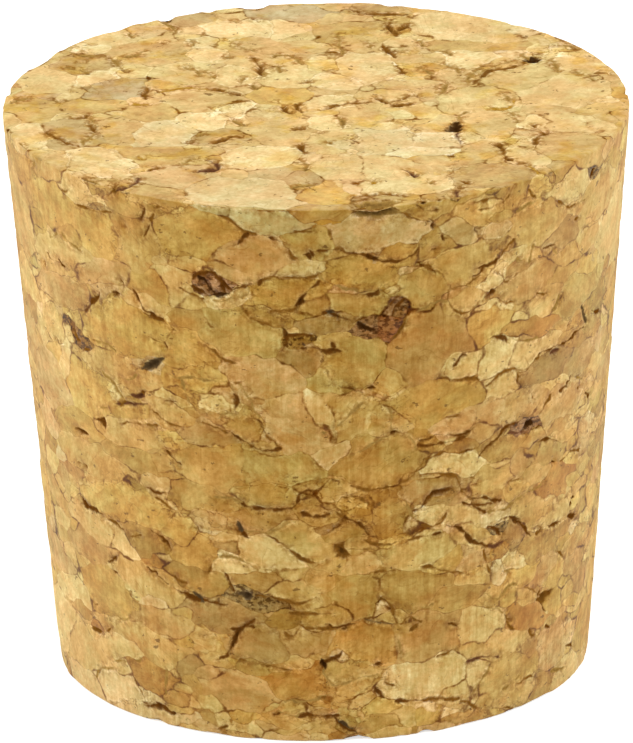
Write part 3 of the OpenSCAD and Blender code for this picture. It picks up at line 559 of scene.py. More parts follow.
    ("brown", [(35.4, 29.95, 0.05), (37.4, 29.6, 0.06), (39.3, 29.4, 0.12)]),
    ("brown", [(35.4, 32, 0.05), (37, 31.4, 0.08), (38.4, 30.9, 0.06), (39.6, 31.6, 0.05)]),
    ("brown", [(46.4, 29.5, 0.09), (48.2, 29.2, 0.06)]),
    ("faint", [(51.9, 28.9, 0.1), (51.6, 28.3, 0.14), (51, 27.9, 0.06)]),
    ("dark", [
        (33.6, 27.45, 0.04), (36, 27.4, 0.06), (37.3, 27.2, 0.16), (38.2, 26.9, 0.12),
        (38, 26.6, 0.06),
    ]),
    ("brown", [(38.8, 27.1, 0.06), (40.8, 27.1, 0.09), (42.4, 27.3, 0.05)]),
    ("faint", [(39.4, 26.9, 0.05), (43, 26.5, 0.06), (50, 26.3, 0.05)]),
    ("brown", [
        (30, 25.15, 0.1), (31.2, 24.85, 0.07), (32.4, 24.5, 0.07), (33.8, 24.05, 0.13),
        (35.2, 24.1, 0.08),
    ]),
    ("brown", [
        (35.2, 24.1, 0.08), (36.6, 24.5, 0.09), (38.4, 24.9, 0.08), (40.4, 25, 0.07),
        (41.3, 24.75, 0.1),
    ]),
    ("brown", [(41.3, 24.7, 0.09), (41, 23.9, 0.11)]),
    ("brown", [(41.3, 24.7, 0.08), (42.8, 24.4, 0.07), (45, 24.6, 0.07), (47.5, 24.95, 0.07)]),
    ("dark", [(47.5, 24.95, 0.08), (50.4, 25.1, 0.1), (52, 25.4, 0.07), (54.6, 25.3, 0.05)]),
    ("red", [(50.4, 24.9, 0.1), (51.6, 24.75, 0.2), (53, 24.75, 0.1)]),
    ("dark", [(54.6, 25.3, 0.05), (57.4, 25.3, 0.08), (60.2, 25.55, 0.14), (62.4, 25.25, 0.08)]),
    ("slate", [(60.4, 27, 0.06), (61.4, 26.7, 0.16), (62.6, 26.2, 0.2), (64, 25.7, 0.12)]),
    ("brown", [(56.4, 26.3, 0.05), (58.6, 26.4, 0.07), (60, 26.2, 0.05)]),
    ("brown", [(44.6, 23, 0.05), (45.4, 22.7, 0.09), (46, 22.2, 0.11)]),
    ("brown", [(48.2, 21.1, 0.05), (50, 21.4, 0.12), (51.8, 21.7, 0.07)]),
    ("dark", [(54, 21.85, 0.07), (56.2, 21.85, 0.13), (57.8, 22.2, 0.05)]),
    ("faint", [(60.8, 22, 0.05), (64, 21.7, 0.07)]),
    ("brown", [(61, 21.3, 0.05), (62.6, 21.2, 0.07)]),
    ("dark", [
        (32.6, 19.3, 0.07), (34.8, 19.7, 0.08), (36.8, 20.2, 0.07), (38.6, 20.8, 0.09),
        (41, 21.05, 0.07), (44, 20.95, 0.08),
    ]),
    ("black", [(43.8, 20, 0.12), (44.8, 20.4, 0.3), (46, 20.45, 0.16), (47, 20.1, 0.07)]),
    ("red", [(39.2, 20.4, 0.06), (41, 20.2, 0.12), (42.8, 20, 0.12), (44, 20, 0.16)]),
    ("dark", [(46.6, 20, 0.06), (48.8, 19.7, 0.09)]),
    ("dark", [(47.6, 19.1, 0.05), (50, 18.75, 0.09), (51.4, 18.6, 0.13), (53.8, 18.35, 0.06)]),
    ("dark", [(30, 19.95, 0.12), (31.6, 19.55, 0.09)]),
    ("dark", [(66, 26.4, 0.13), (69, 25.9, 0.1)]),
    ("dark", [(65.8, 20.4, 0.1), (67.5, 20.1, 0.18), (68.5, 19.9, 0.08)]),
    ("dark", [(31.6, 17.35, 0.07), (33, 17.2, 0.1)]),
    ("brown", [(31.6, 17.8, 0.05), (33.4, 17.6, 0.07)]),
    ("brown", [(40, 16.6, 0.1), (41.2, 16.75, 0.13), (42.8, 16.85, 0.08)]),
    ("brown", [
        (55.6, 16.6, 0.05), (57.6, 16.65, 0.08), (59.6, 16.8, 0.08), (62, 16.9, 0.1),
        (64.5, 16.9, 0.12),
    ]),
    ("dark", [
        (30, 16.45, 0.13), (32, 16.2, 0.11), (33.8, 16.05, 0.08), (35.6, 15.85, 0.08),
        (37.4, 15.5, 0.13), (38.8, 15.3, 0.06),
    ]),
    ("dark", [(30, 15.9, 0.08), (31.6, 15.6, 0.1), (33, 15.45, 0.06), (35, 15.3, 0.05)]),
    ("faint", [(36, 15, 0.05), (39, 14.8, 0.05), (43, 15.2, 0.06), (46, 15.5, 0.05), (50.2, 15.6, 0.08)]),
    ("dark", [(35.8, 13.65, 0.05), (37, 13.75, 0.12), (38, 13.5, 0.24), (38.8, 13.3, 0.1)]),
    ("brown", [(37, 14.2, 0.05), (38, 14.3, 0.06), (39, 14, 0.05)]),
    ("dark", [(39.5, 14.4, 0.05), (40.4, 14.1, 0.07), (41, 14, 0.05)]),
    ("dark", [
        (42, 14.3, 0.1), (43.2, 14, 0.2), (44.3, 13.4, 0.12), (45.3, 12.9, 0.12), (46.4, 12.35, 0.1),
        (47.6, 12.15, 0.08),
    ]),
    ("dark", [(53, 12.65, 0.07), (54, 12.5, 0.16), (56, 12.3, 0.12), (58.6, 12.4, 0.07)]),
    ("dark", [(61, 12.5, 0.07), (62.4, 12.25, 0.16), (64.5, 12.2, 0.1)]),
    ("brown", [(49.8, 12.7, 0.06), (51.6, 12.4, 0.08), (51, 12.05, 0.06), (49.4, 12.1, 0.05)]),
    ("dark", [(30, 13.75, 0.1), (31.4, 13.45, 0.12), (32.6, 13.2, 0.05)]),
    ("red", [(35.6, 12.8, 0.06), (36.8, 12.5, 0.1), (38.4, 12.55, 0.15), (39.8, 12.6, 0.06)]),
    ("brown", [(34.4, 12, 0.05), (35.2, 11.7, 0.11), (34.9, 11.2, 0.08), (35.9, 10.6, 0.06)]),
    ("faint", [(40, 10.15, 0.06), (41.6, 10.3, 0.1), (43.4, 10.2, 0.05)]),
    ("brown", [(50, 10.4, 0.04), (52, 10.3, 0.08), (52.8, 10.3, 0.09)]),
    ("brown", [(57, 10.25, 0.05), (58.6, 10.05, 0.09), (59.4, 9.6, 0.06)]),
    ("faint", [
        (35, 9.3, 0.05), (37.6, 8.7, 0.06), (40.4, 8.6, 0.07), (41.2, 9.2, 0.05), (43, 9.6, 0.05),
        (44.6, 9.2, 0.05),
    ]),
    ("brown", [
        (46.8, 8.5, 0.05), (48.4, 8.25, 0.05), (50.4, 7.9, 0.07), (52.4, 7.7, 0.08), (53.4, 7.1, 0.07),
    ]),
    ("faint", [(36, 8.3, 0.05), (38.6, 7.7, 0.06), (40.2, 7.3, 0.07)]),
    ("brown", [(40.2, 7.3, 0.07), (41.6, 7.1, 0.08), (43, 6.95, 0.1)]),
    ("brown", [(42.2, 6.7, 0.05), (43, 6.3, 0.08), (44, 6.05, 0.12)]),
    ("brown", [(48, 5.35, 0.07), (49, 5.1, 0.11), (50.4, 4.9, 0.08)]),
    ("dark", [(54.6, 4.85, 0.07), (56.6, 4.7, 0.05)]),
    ("red", [(32, 4.75, 0.06), (34, 4.6, 0.1), (36.2, 4.75, 0.06), (38.4, 4.8, 0.1), (39.6, 4.4, 0.06)]),
    ("faint", [(33, 2, 0.05), (36, 2.9, 0.05), (37.3, 4, 0.05)]),
    ("faint", [(41.5, 2, 0.06), (43.6, 2.3, 0.06), (45.4, 2.4, 0.07)]),
    ("brown", [(45, 1.95, 0.05), (48, 2, 0.06), (51, 1.9, 0.08), (53, 1.5, 0.08)]),
    ("brown", [(30, 2, 0.05), (31.6, 1.9, 0.1), (33, 1.5, 0.07), (34.8, 0.9, 0.06)]),
    ("faint", [(57.8, 1.5, 0.06), (59.4, 1.35, 0.13), (61, 1.15, 0.1), (64.5, 1.1, 0.07)]),
    ("brown", [(42, 0.7, 0.05), (43.6, 0.45, 0.12), (45.2, 0.3, 0.06)]),
    ("dark", [(64, 2.6, 0.08), (67, 2.4, 0.1), (69, 2.2, 0.08)]),
]
TOP_OPENINGS = [
    ("faint", [(2.4, -19.6, 0.1), (3.2, -19.5, 0.36), (4.4, -19.35, 0.38), (5.4, -19.1, 0.12)]),
    ("black", [(14, 8.4, 0.14), (14.3, 8.6, 0.26), (14.4, 8, 0.44)]),
    ("faint", [(13.8, 9.8, 0.06), (13.6, 9, 0.1), (14, 8.4, 0.12)]),
    ("brown", [(14, 8, 0.12), (13, 7.2, 0.1), (12.4, 6.9, 0.25), (11.7, 6.3, 0.16), (10.9, 5.4, 0.16)]),
    ("faint", [(10.9, 5.5, 0.06), (11.5, 6.9, 0.08), (13, 8.2, 0.08)]),
    ("faint", [(10.9, 7.2, 0.05), (10.3, 6, 0.09), (10.2, 5, 0.1), (9.9, 3.9, 0.07)]),
    ("black", [(9.2, -3.7, 0.08), (9.15, -4.6, 0.24), (9, -5.4, 0.46), (8.5, -5.5, 0.24)]),
    ("faint", [(9.2, -3.6, 0.05), (9.6, -2.2, 0.06), (10, -1.6, 0.06)]),
    ("red", [(9.2, -6, 0.05), (9.3, -7.9, 0.07)]),
    ("brown", [(-2.2, 0.2, 0.12), (-2, -0.8, 0.2), (-1.8, -1.6, 0.1)]),
    ("brown", [(-1.3, 0.4, 0.12), (-1.1, -0.6, 0.22), (-1, -1.3, 0.1)]),
    ("brown", [(-2.9, 0.9, 0.1), (-2.4, 0.9, 0.14)]),
    ("brown", [(0.3, -1, 0.12), (0.9, -0.2, 0.14), (2, 0.2, 0.1), (4, 0.3, 0.12)]),
    ("brown", [(4.1, 1.6, 0.1), (4.2, 0.9, 0.2), (4.5, 0.3, 0.14)]),
    ("brown", [(4.8, 0, 0.1), (5, -0.6, 0.22), (5.6, -0.3, 0.14), (6.4, 0.1, 0.1)]),
    ("brown", [(4.9, 0.5, 0.1), (5.6, 0.7, 0.12), (6.4, 1.7, 0.18), (6.7, 1.2, 0.12)]),
    ("brown", [
        (-3.9, 9.6, 0.08), (-3.8, 8.6, 0.12), (-3.7, 7.6, 0.2), (-3.8, 6.8, 0.24), (-3.4, 6.3, 0.1),
    ]),
    ("faint", [(-3.7, 7.4, 0.08), (-3.2, 6.5, 0.1), (-3, 5.8, 0.12), (-3.6, 5.6, 0.12), (-4.3, 5.7, 0.08)]),
    ("faint", [(-4.8, 5.9, 0.08), (-4.8, 4.6, 0.1)]),
    ("faint", [(-4.4, 4.3, 0.1), (-4.1, 3.9, 0.12)]),
    ("amber", [(-10.3, 3, 0.06), (-9.2, 3.6, 0.08), (-7.8, 3.6, 0.08), (-6.8, 3.4, 0.12)]),
    ("brown", [(-6.8, 3.4, 0.1), (-6.2, 2.9, 0.18), (-5.6, 2.6, 0.18), (-5.1, 2.1, 0.18)]),
    ("faint", [(-2.8, 9.5, 0.09), (-2.6, 10, 0.12), (-1.8, 10, 0.1), (-1.2, 9.4, 0.12), (-1, 8.2, 0.1)]),
    ("faint", [(-2.6, 7.7, 0.07), (-2.2, 6.6, 0.09)]),
    ("brown", [(-1.1, 4.4, 0.12), (-0.5, 4.8, 0.22)]),
    ("faint", [(0.7, 7.4, 0.1), (0.8, 6.8, 0.18)]),
    ("brown", [(-10.2, 13.3, 0.16), (-10, 12.9, 0.18)]),
    ("faint", [(-8, 12.9, 0.08), (-8, 12.4, 0.1)]),
    ("faint", [(-11.2, 11.2, 0.06), (-11.8, 10.3, 0.12), (-12.6, 10.1, 0.14)]),
    ("faint", [(-13.4, 9.8, 0.08), (-12.9, 8.9, 0.12), (-12.8, 8.3, 0.1)]),
    ("brown", [(-12.9, 7.8, 0.12), (-12.2, 7.3, 0.16)]),
    ("faint", [(-15.8, 10.4, 0.1), (-13.9, 10.2, 0.12)]),
    ("faint", [(-15.5, 9.3, 0.14), (-15.3, 9, 0.16)]),
    ("faint", [(-16.3, 8.4, 0.12), (-15.4, 7.9, 0.12), (-14.9, 7, 0.12)]),
    ("brown", [(-11, 4.3, 0.06), (-10.9, 3.4, 0.12), (-11.1, 2.2, 0.12), (-11.2, 1.6, 0.08)]),
    ("faint", [(-8.9, 8.2, 0.06), (-8.7, 7.6, 0.12), (-7.9, 7.1, 0.1), (-7.7, 5.8, 0.12)]),
    ("faint", [(-7.3, 7, 0.06), (-6.9, 5.9, 0.08)]),
    ("faint", [(-6, 9.8, 0.08), (-5.7, 9.2, 0.12)]),
    ("faint", [(-20, 1.3, 0.12), (-19, 2.1, 0.14)]),
    ("faint", [(-17.4, 2, 0.1), (-16.9, 1.3, 0.14)]),
    ("amber", [(-12, 0.6, 0.1), (-11, 0.8, 0.12)]),
    ("brown", [(-16, -1.9, 0.12), (-15.2, -1.9, 0.16), (-14.8, -1.4, 0.12)]),
    ("faint", [(-14.9, -2, 0.12), (-14.4, -2.7, 0.14)]),
    ("brown", [(-15, -3, 0.08), (-14.5, -3.9, 0.12), (-14.3, -4.4, 0.1)]),
    ("brown", [
        (-17.6, -4.2, 0.06), (-17.2, -5.2, 0.12), (-16.6, -6, 0.12), (-16.2, -6.8, 0.14),
        (-15.6, -7.4, 0.16),
    ]),
    ("faint", [(-15.3, -7.2, 0.1), (-14.9, -5.8, 0.09), (-14.4, -4.6, 0.1)]),
    ("faint", [(-19.3, -6.9, 0.1), (-19.2, -7.8, 0.13)]),
    ("faint", [(-7, -0.4, 0.08), (-6.4, -1.1, 0.12)]),
    ("faint", [(-5.4, -3, 0.1), (-4.9, -3.7, 0.14)]),
    ("faint", [(-7.9, -5.2, 0.1), (-7.5, -5, 0.08), (-7.4, -5.8, 0.1)]),
    ("brown", [(-8.8, -6.9, 0.1), (-8.4, -7.3, 0.2), (-7.8, -6.9, 0.12)]),
    ("brown", [(-6.4, -7.4, 0.1), (-6.1, -6.8, 0.2), (-5.6, -6.1, 0.12), (-5.1, -6.3, 0.1)]),
    ("red", [
        (-6.9, -10.5, 0.08), (-6.6, -11.2, 0.12), (-6.2, -11.9, 0.22), (-6.9, -12.6, 0.24),
        (-7.8, -12.9, 0.12),
    ]),
    ("brown", [(-10.8, -12.5, 0.12), (-10.2, -11.9, 0.12)]),
    ("faint", [(-8.5, -10.9, 0.08), (-8, -10.2, 0.1)]),
    ("amber", [(-11.6, -9.6, 0.1), (-11.2, -10.2, 0.12)]),
    ("red", [(-11.4, -13.7, 0.1), (-11.6, -14.5, 0.2), (-12, -15.5, 0.16), (-12.8, -15.9, 0.14)]),
    ("brown", [(-13.4, -15.4, 0.12), (-13.3, -17.6, 0.14)]),
    ("faint", [(-15.5, -13.8, 0.12), (-14.5, -15, 0.12), (-14, -15.6, 0.12)]),
    ("faint", [(-17.9, -10.8, 0.1), (-17.4, -12, 0.14)]),
    ("faint", [(-18.8, -10.5, 0.08), (-18.4, -11.8, 0.12)]),
    ("brown", [(-1.7, -4.8, 0.1), (-1.4, -4.4, 0.18), (-1, -4.6, 0.1)]),
    ("brown", [(-0.9, -7.6, 0.12), (-0.8, -8.5, 0.2), (-0.6, -9.7, 0.06)]),
    ("faint", [(-1.1, -10.8, 0.06), (-0.5, -12, 0.08), (-0.8, -13.2, 0.06)]),
    ("faint", [(-1.6, -16.4, 0.1), (-0.9, -15.8, 0.12), (-0.4, -15.6, 0.1)]),
    ("faint", [(1.7, -2.4, 0.1), (1.6, -3.4, 0.14), (1.5, -4.5, 0.12)]),
    ("brown", [(0.1, -5.6, 0.1), (0.5, -5.7, 0.14)]),
    ("faint", [(0.8, -7.3, 0.1), (1.1, -7.4, 0.14)]),
    ("faint", [(4.8, -3.3, 0.1), (5.2, -3.6, 0.16)]),
    ("brown", [(11.5, -8.4, 0.2), (12, -9, 0.18), (12.4, -10.2, 0.08)]),
    ("brown", [(8.6, -10.1, 0.16), (8.7, -10.7, 0.22)]),
    ("brown", [(12.3, -11.3, 0.12), (12.7, -11.6, 0.2)]),
    ("brown", [(13.1, -12, 0.1), (13.5, -12, 0.12)]),
    ("red", [(5.5, -13.2, 0.06), (6.1, -13.7, 0.1), (6.5, -14.3, 0.2)]),
    ("faint", [(7.2, -15.4, 0.12), (7.5, -15.7, 0.16)]),
    ("amber", [(3.6, -15.2, 0.15), (3.9, -15.6, 0.2)]),
    ("brown", [(9.7, -15.4, 0.1), (9.9, -15.8, 0.15)]),
    ("brown", [(14.4, -8.3, 0.1), (14.5, -7.2, 0.12), (15, -6.9, 0.12), (15.2, -6.2, 0.18)]),
    ("brown", [(14.1, -4.7, 0.1), (14.4, -4.8, 0.15)]),
    ("amber", [
        (11.5, -0.6, 0.1), (11.7, -1.5, 0.12), (12.4, -1.6, 0.12), (12.7, -0.8, 0.1),
        (12.7, 0.2, 0.08),
    ]),
    ("faint", [(12.9, -2.4, 0.06), (12.9, -4, 0.07)]),
    ("brown", [(9.2, -16.4, 0.12), (9.8, -16.6, 0.22), (9.5, -17.1, 0.1)]),
    ("red", [(9, -17.5, 0.14), (9, -18.6, 0.14)]),
    ("brown", [(6.6, -18.8, 0.1), (7.1, -19.4, 0.16)]),
    ("brown", [(8, -19, 0.1), (8.2, -19.8, 0.14)]),
    ("amber", [(13.6, -12.6, 0.06), (14.3, -13.3, 0.1), (14.2, -13.9, 0.08)]),
    ("brown", [(2.2, -18.3, 0.08), (3.4, -17.8, 0.12), (4.6, -17.5, 0.12), (5.6, -18.3, 0.08)]),
    ("brown", [(2.4, 19.4, 0.08), (3.2, 18.6, 0.12), (4, 18.2, 0.2), (5.5, 17.8, 0.16), (6.6, 17.3, 0.08)]),
    ("brown", [(5, 17, 0.06), (5, 15.8, 0.1), (5.2, 14.9, 0.2), (5.4, 13.6, 0.06)]),
    ("brown", [(5.3, 14.8, 0.16), (6, 15.2, 0.16), (6.6, 16.2, 0.06)]),
    ("faint", [(1.7, 14.2, 0.06), (1.6, 12, 0.08), (2, 9.9, 0.08)]),
    ("faint", [(3.5, 12.3, 0.08), (3.6, 11.2, 0.1)]),
    ("brown", [(4.5, 11, 0.06), (4.9, 10.3, 0.16), (5.4, 9.3, 0.14)]),
    ("faint", [(5.6, 10.3, 0.1), (6.3, 9.8, 0.14)]),
    ("faint", [(7, 12.6, 0.06), (7.3, 11.3, 0.16)]),
    ("faint", [(8.1, 10.7, 0.1), (8.7, 10, 0.1), (9.1, 9.3, 0.06)]),
    ("brown", [(5.2, 7.8, 0.06), (5.6, 7, 0.1), (5.8, 5.9, 0.16)]),
    ("faint", [(6.9, 7.2, 0.08), (7.2, 6.4, 0.12), (7.9, 5.6, 0.12)]),
    ("faint", [(8.7, 7.8, 0.06), (9, 6.9, 0.09), (9.4, 6.2, 0.07)]),
    ("faint", [(8.8, 3.9, 0.08), (8.7, 3.2, 0.12), (8.2, 1.6, 0.06)]),
    ("faint", [(15.9, 8, 0.07), (15.9, 6, 0.09)]),
    ("faint", [(17.2, 6.3, 0.06), (18.4, 4.1, 0.08)]),
    ("faint", [(19.2, 5.6, 0.12), (19.4, 4.9, 0.16)]),
    ("faint", [(12, 1.8, 0.07), (12.6, 0.4, 0.09)]),
    ("faint", [(-5.8, 13.2, 0.06), (-5, 12, 0.09), (-4.6, 11, 0.09), (-3.8, 10.4, 0.07)]),
    ("faint", [(-10, 17, 0.06), (-9.5, 16, 0.1), (-8.9, 15, 0.08)]),
    ("faint", [(-12.4, 15, 0.1), (-12.3, 14, 0.1)]),
    ("faint", [(-3.9, 17.6, 0.1), (-3.8, 16.9, 0.12)]),
    ("faint", [(-5.5, 17.4, 0.06), (-5.3, 16.7, 0.09)]),
    ("faint", [(16.2, 11.2, 0.08), (16.8, 10.6, 0.12)]),
]
# How far along the lining colours each kind of opening sits
LINING = {"black": 0.0, "dark": 0.2, "brown": 0.4, "red": 0.6, "slate": 0.8, "faint": 1.0, "amber": 1.2}

# Chips in the rims: azimuth, half width and depth
LARGE_RIM_CHIPS = [
    (10, 1.6, 0.5), (26, 0.6, 0.4), (-151, 0.5, 0.5), (-169, 0.7, 0.45), (-160, 0.4, 0.2),
    (166, 0.4, 0.15), (140, 0.4, 0.15), (-118, 1.6, 0.3), (-140, 1.0, 0.2), (-62, 0.6, 0.25), (-38, 0.8, 0.3),
    (48, 0.5, 0.25), (-100, 0.7, 0.3), (95, 0.5, 0.3),
]
SMALL_RIM_CHIPS = [
    (7, 0.8, 0.5), (-39, 0.6, 0.2), (22, 0.5, 0.3),
    (118, 0.8, 0.4), (165, 0.6, 0.3), (-146, 0.8, 0.4), (-101, 0.6, 0.3),
]


# ---------------------------------------------------------------------------------------------
# The ground skin

STEP = 0.275
FOOT_STEP = 0.42
RIM_RINGS = 3


def skin_r(z):
    return SMALL_R + (LARGE_R - SMALL_R) * z / LENGTH


def on_side(azimuth, z):
    a = math.radians(azimuth)
    return np.array([skin_r(z) * math.sin(a), -skin_r(z) * math.cos(a), z])


def on_top(x, y):
    return np.array([x, y, LENGTH])


def rim_rings(corner_r, corner_z, rim_r, start, end):
    """Rings round a worn rim: radius, height and the outward normal in that section."""
    rings = []
    for i in range(RIM_RINGS + 1):
        a = start + (end - start) * i / RIM_RINGS
        rings.append((corner_r + rim_r * math.cos(a), corner_z + rim_r * math.sin(a), (math.cos(a), math.sin(a))))
    return rings


def profile():
    """Every ring from the middle of the small face to the middle of the large one."""
    around = round(2 * math.pi * LARGE_R / STEP)
    foot_c = SMALL_R - SMALL_RIM_R
    top_c = LARGE_R - LARGE_RIM_R
    rings = []
    count = int(foot_c / FOOT_STEP)
    for i in range(1, count):
        r = foot_c * i / count
        rings.append((r, 0.0, (0, -1), max(6, round(2 * math.pi * r / FOOT_STEP))))
    for r, z, n in rim_rings(foot_c, SMALL_RIM_R, SMALL_RIM_R, -math.pi / 2, -TAPER):
        rings.append((r, z, n, around))
    side_from = SMALL_RIM_R * (1 - math.sin(TAPER))
    side_to = LENGTH - LARGE_RIM_R * (1 + math.sin(TAPER))
    count = round((side_to - side_from) / STEP)
    for i in range(1, count):
        z = side_from + (side_to - side_from) * i / count
        rings.append((skin_r(z), z, (math.cos(TAPER), -math.sin(TAPER)), around))
    for r, z, n in rim_rings(top_c, LENGTH - LARGE_RIM_R, LARGE_RIM_R, -TAPER, math.pi / 2):
        rings.append((r, z, n, around))
    count = int(top_c / STEP)
    for i in range(count - 1, 0, -1):
        r = top_c * i / count
        rings.append((r, LENGTH, (0, 1), max(6, round(2 * math.pi * r / STEP))))
    return rings


def zip_rings(lower, upper):
    """Triangles between two closed rings of vertices that may differ in number."""
    (first_a, n_a, turn_a), (first_b, n_b, turn_b) = lower, upper
    faces = []
    i = j = 0
    while i < n_a or j < n_b:
        next_a = (i + 1 + turn_a) / n_a
        next_b = (j + 1 + turn_b) / n_b
        a0, b0 = first_a + i % n_a, first_b + j % n_b
        if j >= n_b or (i < n_a and next_a <= next_b):
            faces.append((a0, first_a + (i + 1) % n_a, b0))
            i += 1
        else:
            faces.append((a0, first_b + (j + 1) % n_b, b0))
            j += 1
    return faces


def ground_skin():
    """Points, outward normals and triangles of the closed skin before anything opens it."""
    points = [(0, 0, 0)]
    normals = [(0, 0, -1)]
    faces = []
    previous = None
    for row, (r, z, (out, up), n) in enumerate(profile()):
        turn = 0.5 * (row % 2)
        a = (np.arange(n) + turn) * 2 * math.pi / n
        first = len(points)
        points.extend(zip(r * np.sin(a), -r * np.cos(a), np.full(n, z)))
        normals.extend(zip(out * np.sin(a), -out * np.cos(a), np.full(n, up)))
        if previous is None:
            faces.extend((0, first + (i + 1) % n, first + i) for i in range(n))
        else:
            faces.extend(zip_rings(previous, (first, n, turn)))
        previous = (first, n, turn)
    first, n, turn = previous
    faces.extend((len(points), first + i, first + (i + 1) % n) for i in range(n))
    points.append((0, 0, LENGTH))
    normals.append((0, 0, 1))
    return np.array(points), np.array(normals), np.array(faces)


def noise_vectors(points, wavelength, shift):
    """Smooth noise with three parts at each point."""
    return np.array([noise.noise_vector(Vector(p) / wavelength + Vector((shift, 0, 0))) for p in points])


def noise_values(points, wavelength, shift):
    return np.array([noise.noise(Vector(p) / wavelength + Vector((shift, 0, 0))) for p in points])


WARPS = ((2.6, 0.45, 3.0), (1.1, 0.36, 17.0), (0.5, 0.12, 31.0))


def warped(points):
    """Points moved a little, so that granules don't have ruled edges."""
    moved = np.array(points, float)
    for wavelength, reach, shift in WARPS:
        moved += reach * noise_vectors(points, wavelength, shift)
    return moved


# ---------------------------------------------------------------------------------------------
# Granules

FLATTEN = 2.1
SHELL_INSIDE = 3.2
SHELL_OUTSIDE = 2.2
CLASSES = ((2.5, 900), (1.8, 3600), (1.2, 8000), (0.8, 12000))
TONE_SPREAD = 0.09
# Cork that is darker in red is darker still in green and blue.
DEEPENING = (1.0, 1.5, 2.6)


def linear(rgb):
    c = np.array(rgb, float) / 255
    return np.where(c <= 0.04045, c / 12.92, ((c + 0.055) / 1.055) ** 2.4)


class Granules:
    """Every granule's centre, the matrix that turns it into a unit ball, its size and colour."""

    def __init__(self):
        self.centres, self.shapes, self.sizes, self.colours, self.reaches = [], [], [], [], []
        self.points = []

    def add(self, centre, axes, halves, colour, pointed):
        self.points.append(pointed)
        self.centres.append(centre)
        self.shapes.append(np.diag(1 / np.array(halves, float)) @ np.array(axes, float))
        self.sizes.append((halves[0] * halves[1]) ** 0.5)
        self.reaches.append(max(halves))
        self.colours.append(colour)

    def distance(self, i, points):
        """How far points lie outside granule i, in millimetres, and less than 0 inside it."""
        local = np.abs((points - self.centres[i]) @ self.shapes[i].T)
        power = self.points[i]
        return ((local**power).sum(axis=-1) ** (1 / power) - 1) * self.sizes[i]


def turned(across, along, degrees):
    c, s = math.cos(math.radians(degrees)), math.sin(math.radians(degrees))
    return c * across + s * along, -s * across + c * along


def tone(name, rng, spread=TONE_SPREAD):
    step = 1 + spread * rng.uniform(-1, 1)
    return linear(CORK[name]) * step ** np.array(DEEPENING) * (1 + 0.2 * spread * rng.uniform(-1, 1, 3))


def placed_granules(granules, rng):
    up = np.array([0.0, 0.0, 1.0])
    for azimuth, z, half_w, half_h, tilt, name in SIDE_GRANULES:
        a = math.radians(azimuth)
        across = np.array([math.cos(a), math.sin(a), 0])
        out = np.array([math.sin(a), -math.cos(a), 0])
        e1, e2 = turned(across, up, tilt)
        centre = warped([on_side(azimuth, z)])[0]
        granules.add(centre, (e1, e2, out), (half_w, half_h, 0.8 * half_w), tone(name, rng, 0.02), 1.7)
    for x, y, half_l, half_w, turn, name in TOP_GRANULES:
        e1, e2 = turned(np.array([1.0, 0, 0]), np.array([0, 1.0, 0]), turn)
        centre = warped([on_top(x, y)])[0]
        granules.add(centre, (e1, e2, up), (half_l, half_w, 0.7 * half_w), tone(name, rng, 0.02), 1.9)


def skin_depth(p):
    return min(skin_r(p[2]) - math.hypot(p[0], p[1]), p[2], LENGTH - p[2])


def fill_granules(granules, rng):
    """Fills the rest of the skin, large granules first and small ones in the gaps."""
    names = {"side": list(SIDE_MIX), "end": list(END_MIX)}
    weights = {
        "side": np.array(list(SIDE_MIX.values()), float),
        "end": np.array(list(END_MIX.values()), float),
    }
    squash = np.array([1, 1, FLATTEN])
    placed = len(granules.centres)
    spots = [np.array(c) * squash for c in granules.centres]
    room = [0.0] * placed
    for size, tries in CLASSES:
        for _ in range(tries):
            angle = rng.uniform(0, 2 * math.pi)
            r = (LARGE_R + SHELL_OUTSIDE) * math.sqrt(rng.uniform(0, 1))
            p = np.array([r * math.sin(angle), -r * math.cos(angle), rng.uniform(-SHELL_OUTSIDE, LENGTH + SHELL_OUTSIDE)])
            half = size * rng.uniform(0.8, 1.2)
            yaw, lean = rng.uniform(0, 360), rng.normal(0, 14)
            slim, flat, pointed = rng.uniform(0.55, 1), rng.uniform(0.7, 1.25), rng.uniform(1.35, 2.2)
            pick = rng.uniform(0, 1)
            wobble = tone("tan", rng) / linear(CORK["tan"])
            if not -SHELL_OUTSIDE < skin_depth(p) < SHELL_INSIDE:
                continue
            q = p * squash
            gaps = np.linalg.norm(np.array(spots) - q, axis=1) if spots else np.array([9e9])
            if (gaps < 0.72 * (half + np.array(room))).any():
                continue
            near = np.nonzero(gaps[:placed] < 12)[0]
            if any(granules.distance(i, p) < 0.62 * half for i in near):
                continue
            e1, e2 = turned(np.array([1.0, 0, 0]), np.array([0, 1.0, 0]), yaw)
            e1, e3 = turned(e1, np.array([0, 0, 1.0]), lean)
            where = "side" if skin_r(p[2]) - math.hypot(p[0], p[1]) < min(p[2], LENGTH - p[2]) else "end"
            share = np.cumsum(weights[where]) / weights[where].sum()
            name = names[where][int(np.searchsorted(share, pick))]
            halves = (half, half * slim, half * flat / FLATTEN)
            granules.add(p, (e1, e2, e3), halves, linear(CORK[name]) * wobble, pointed)
            spots.append(q)
            room.append(half)


def relevant_granules(granules, points, tree):
    """Sorted keys, vertex * count + granule, and the distance of each pair that could matter."""
    count = len(granules.centres)
    keys, gaps = [], []
    for i in range(count):
        reach = granules.reaches[i] * 1.7 + 1.2
        found = tree.find_range(Vector(granules.centres[i]), reach)
        if not found:
            continue
        index = np.array([f[1] for f in found])
        d = granules.distance(i, points[index])
        near = d < 2.2
        keys.append(index[near] * count + i)
        gaps.append(d[near])
    keys, gaps = np.concatenate(keys), np.concatenate(gaps)
    order = np.argsort(keys)
    return keys[order], gaps[order]


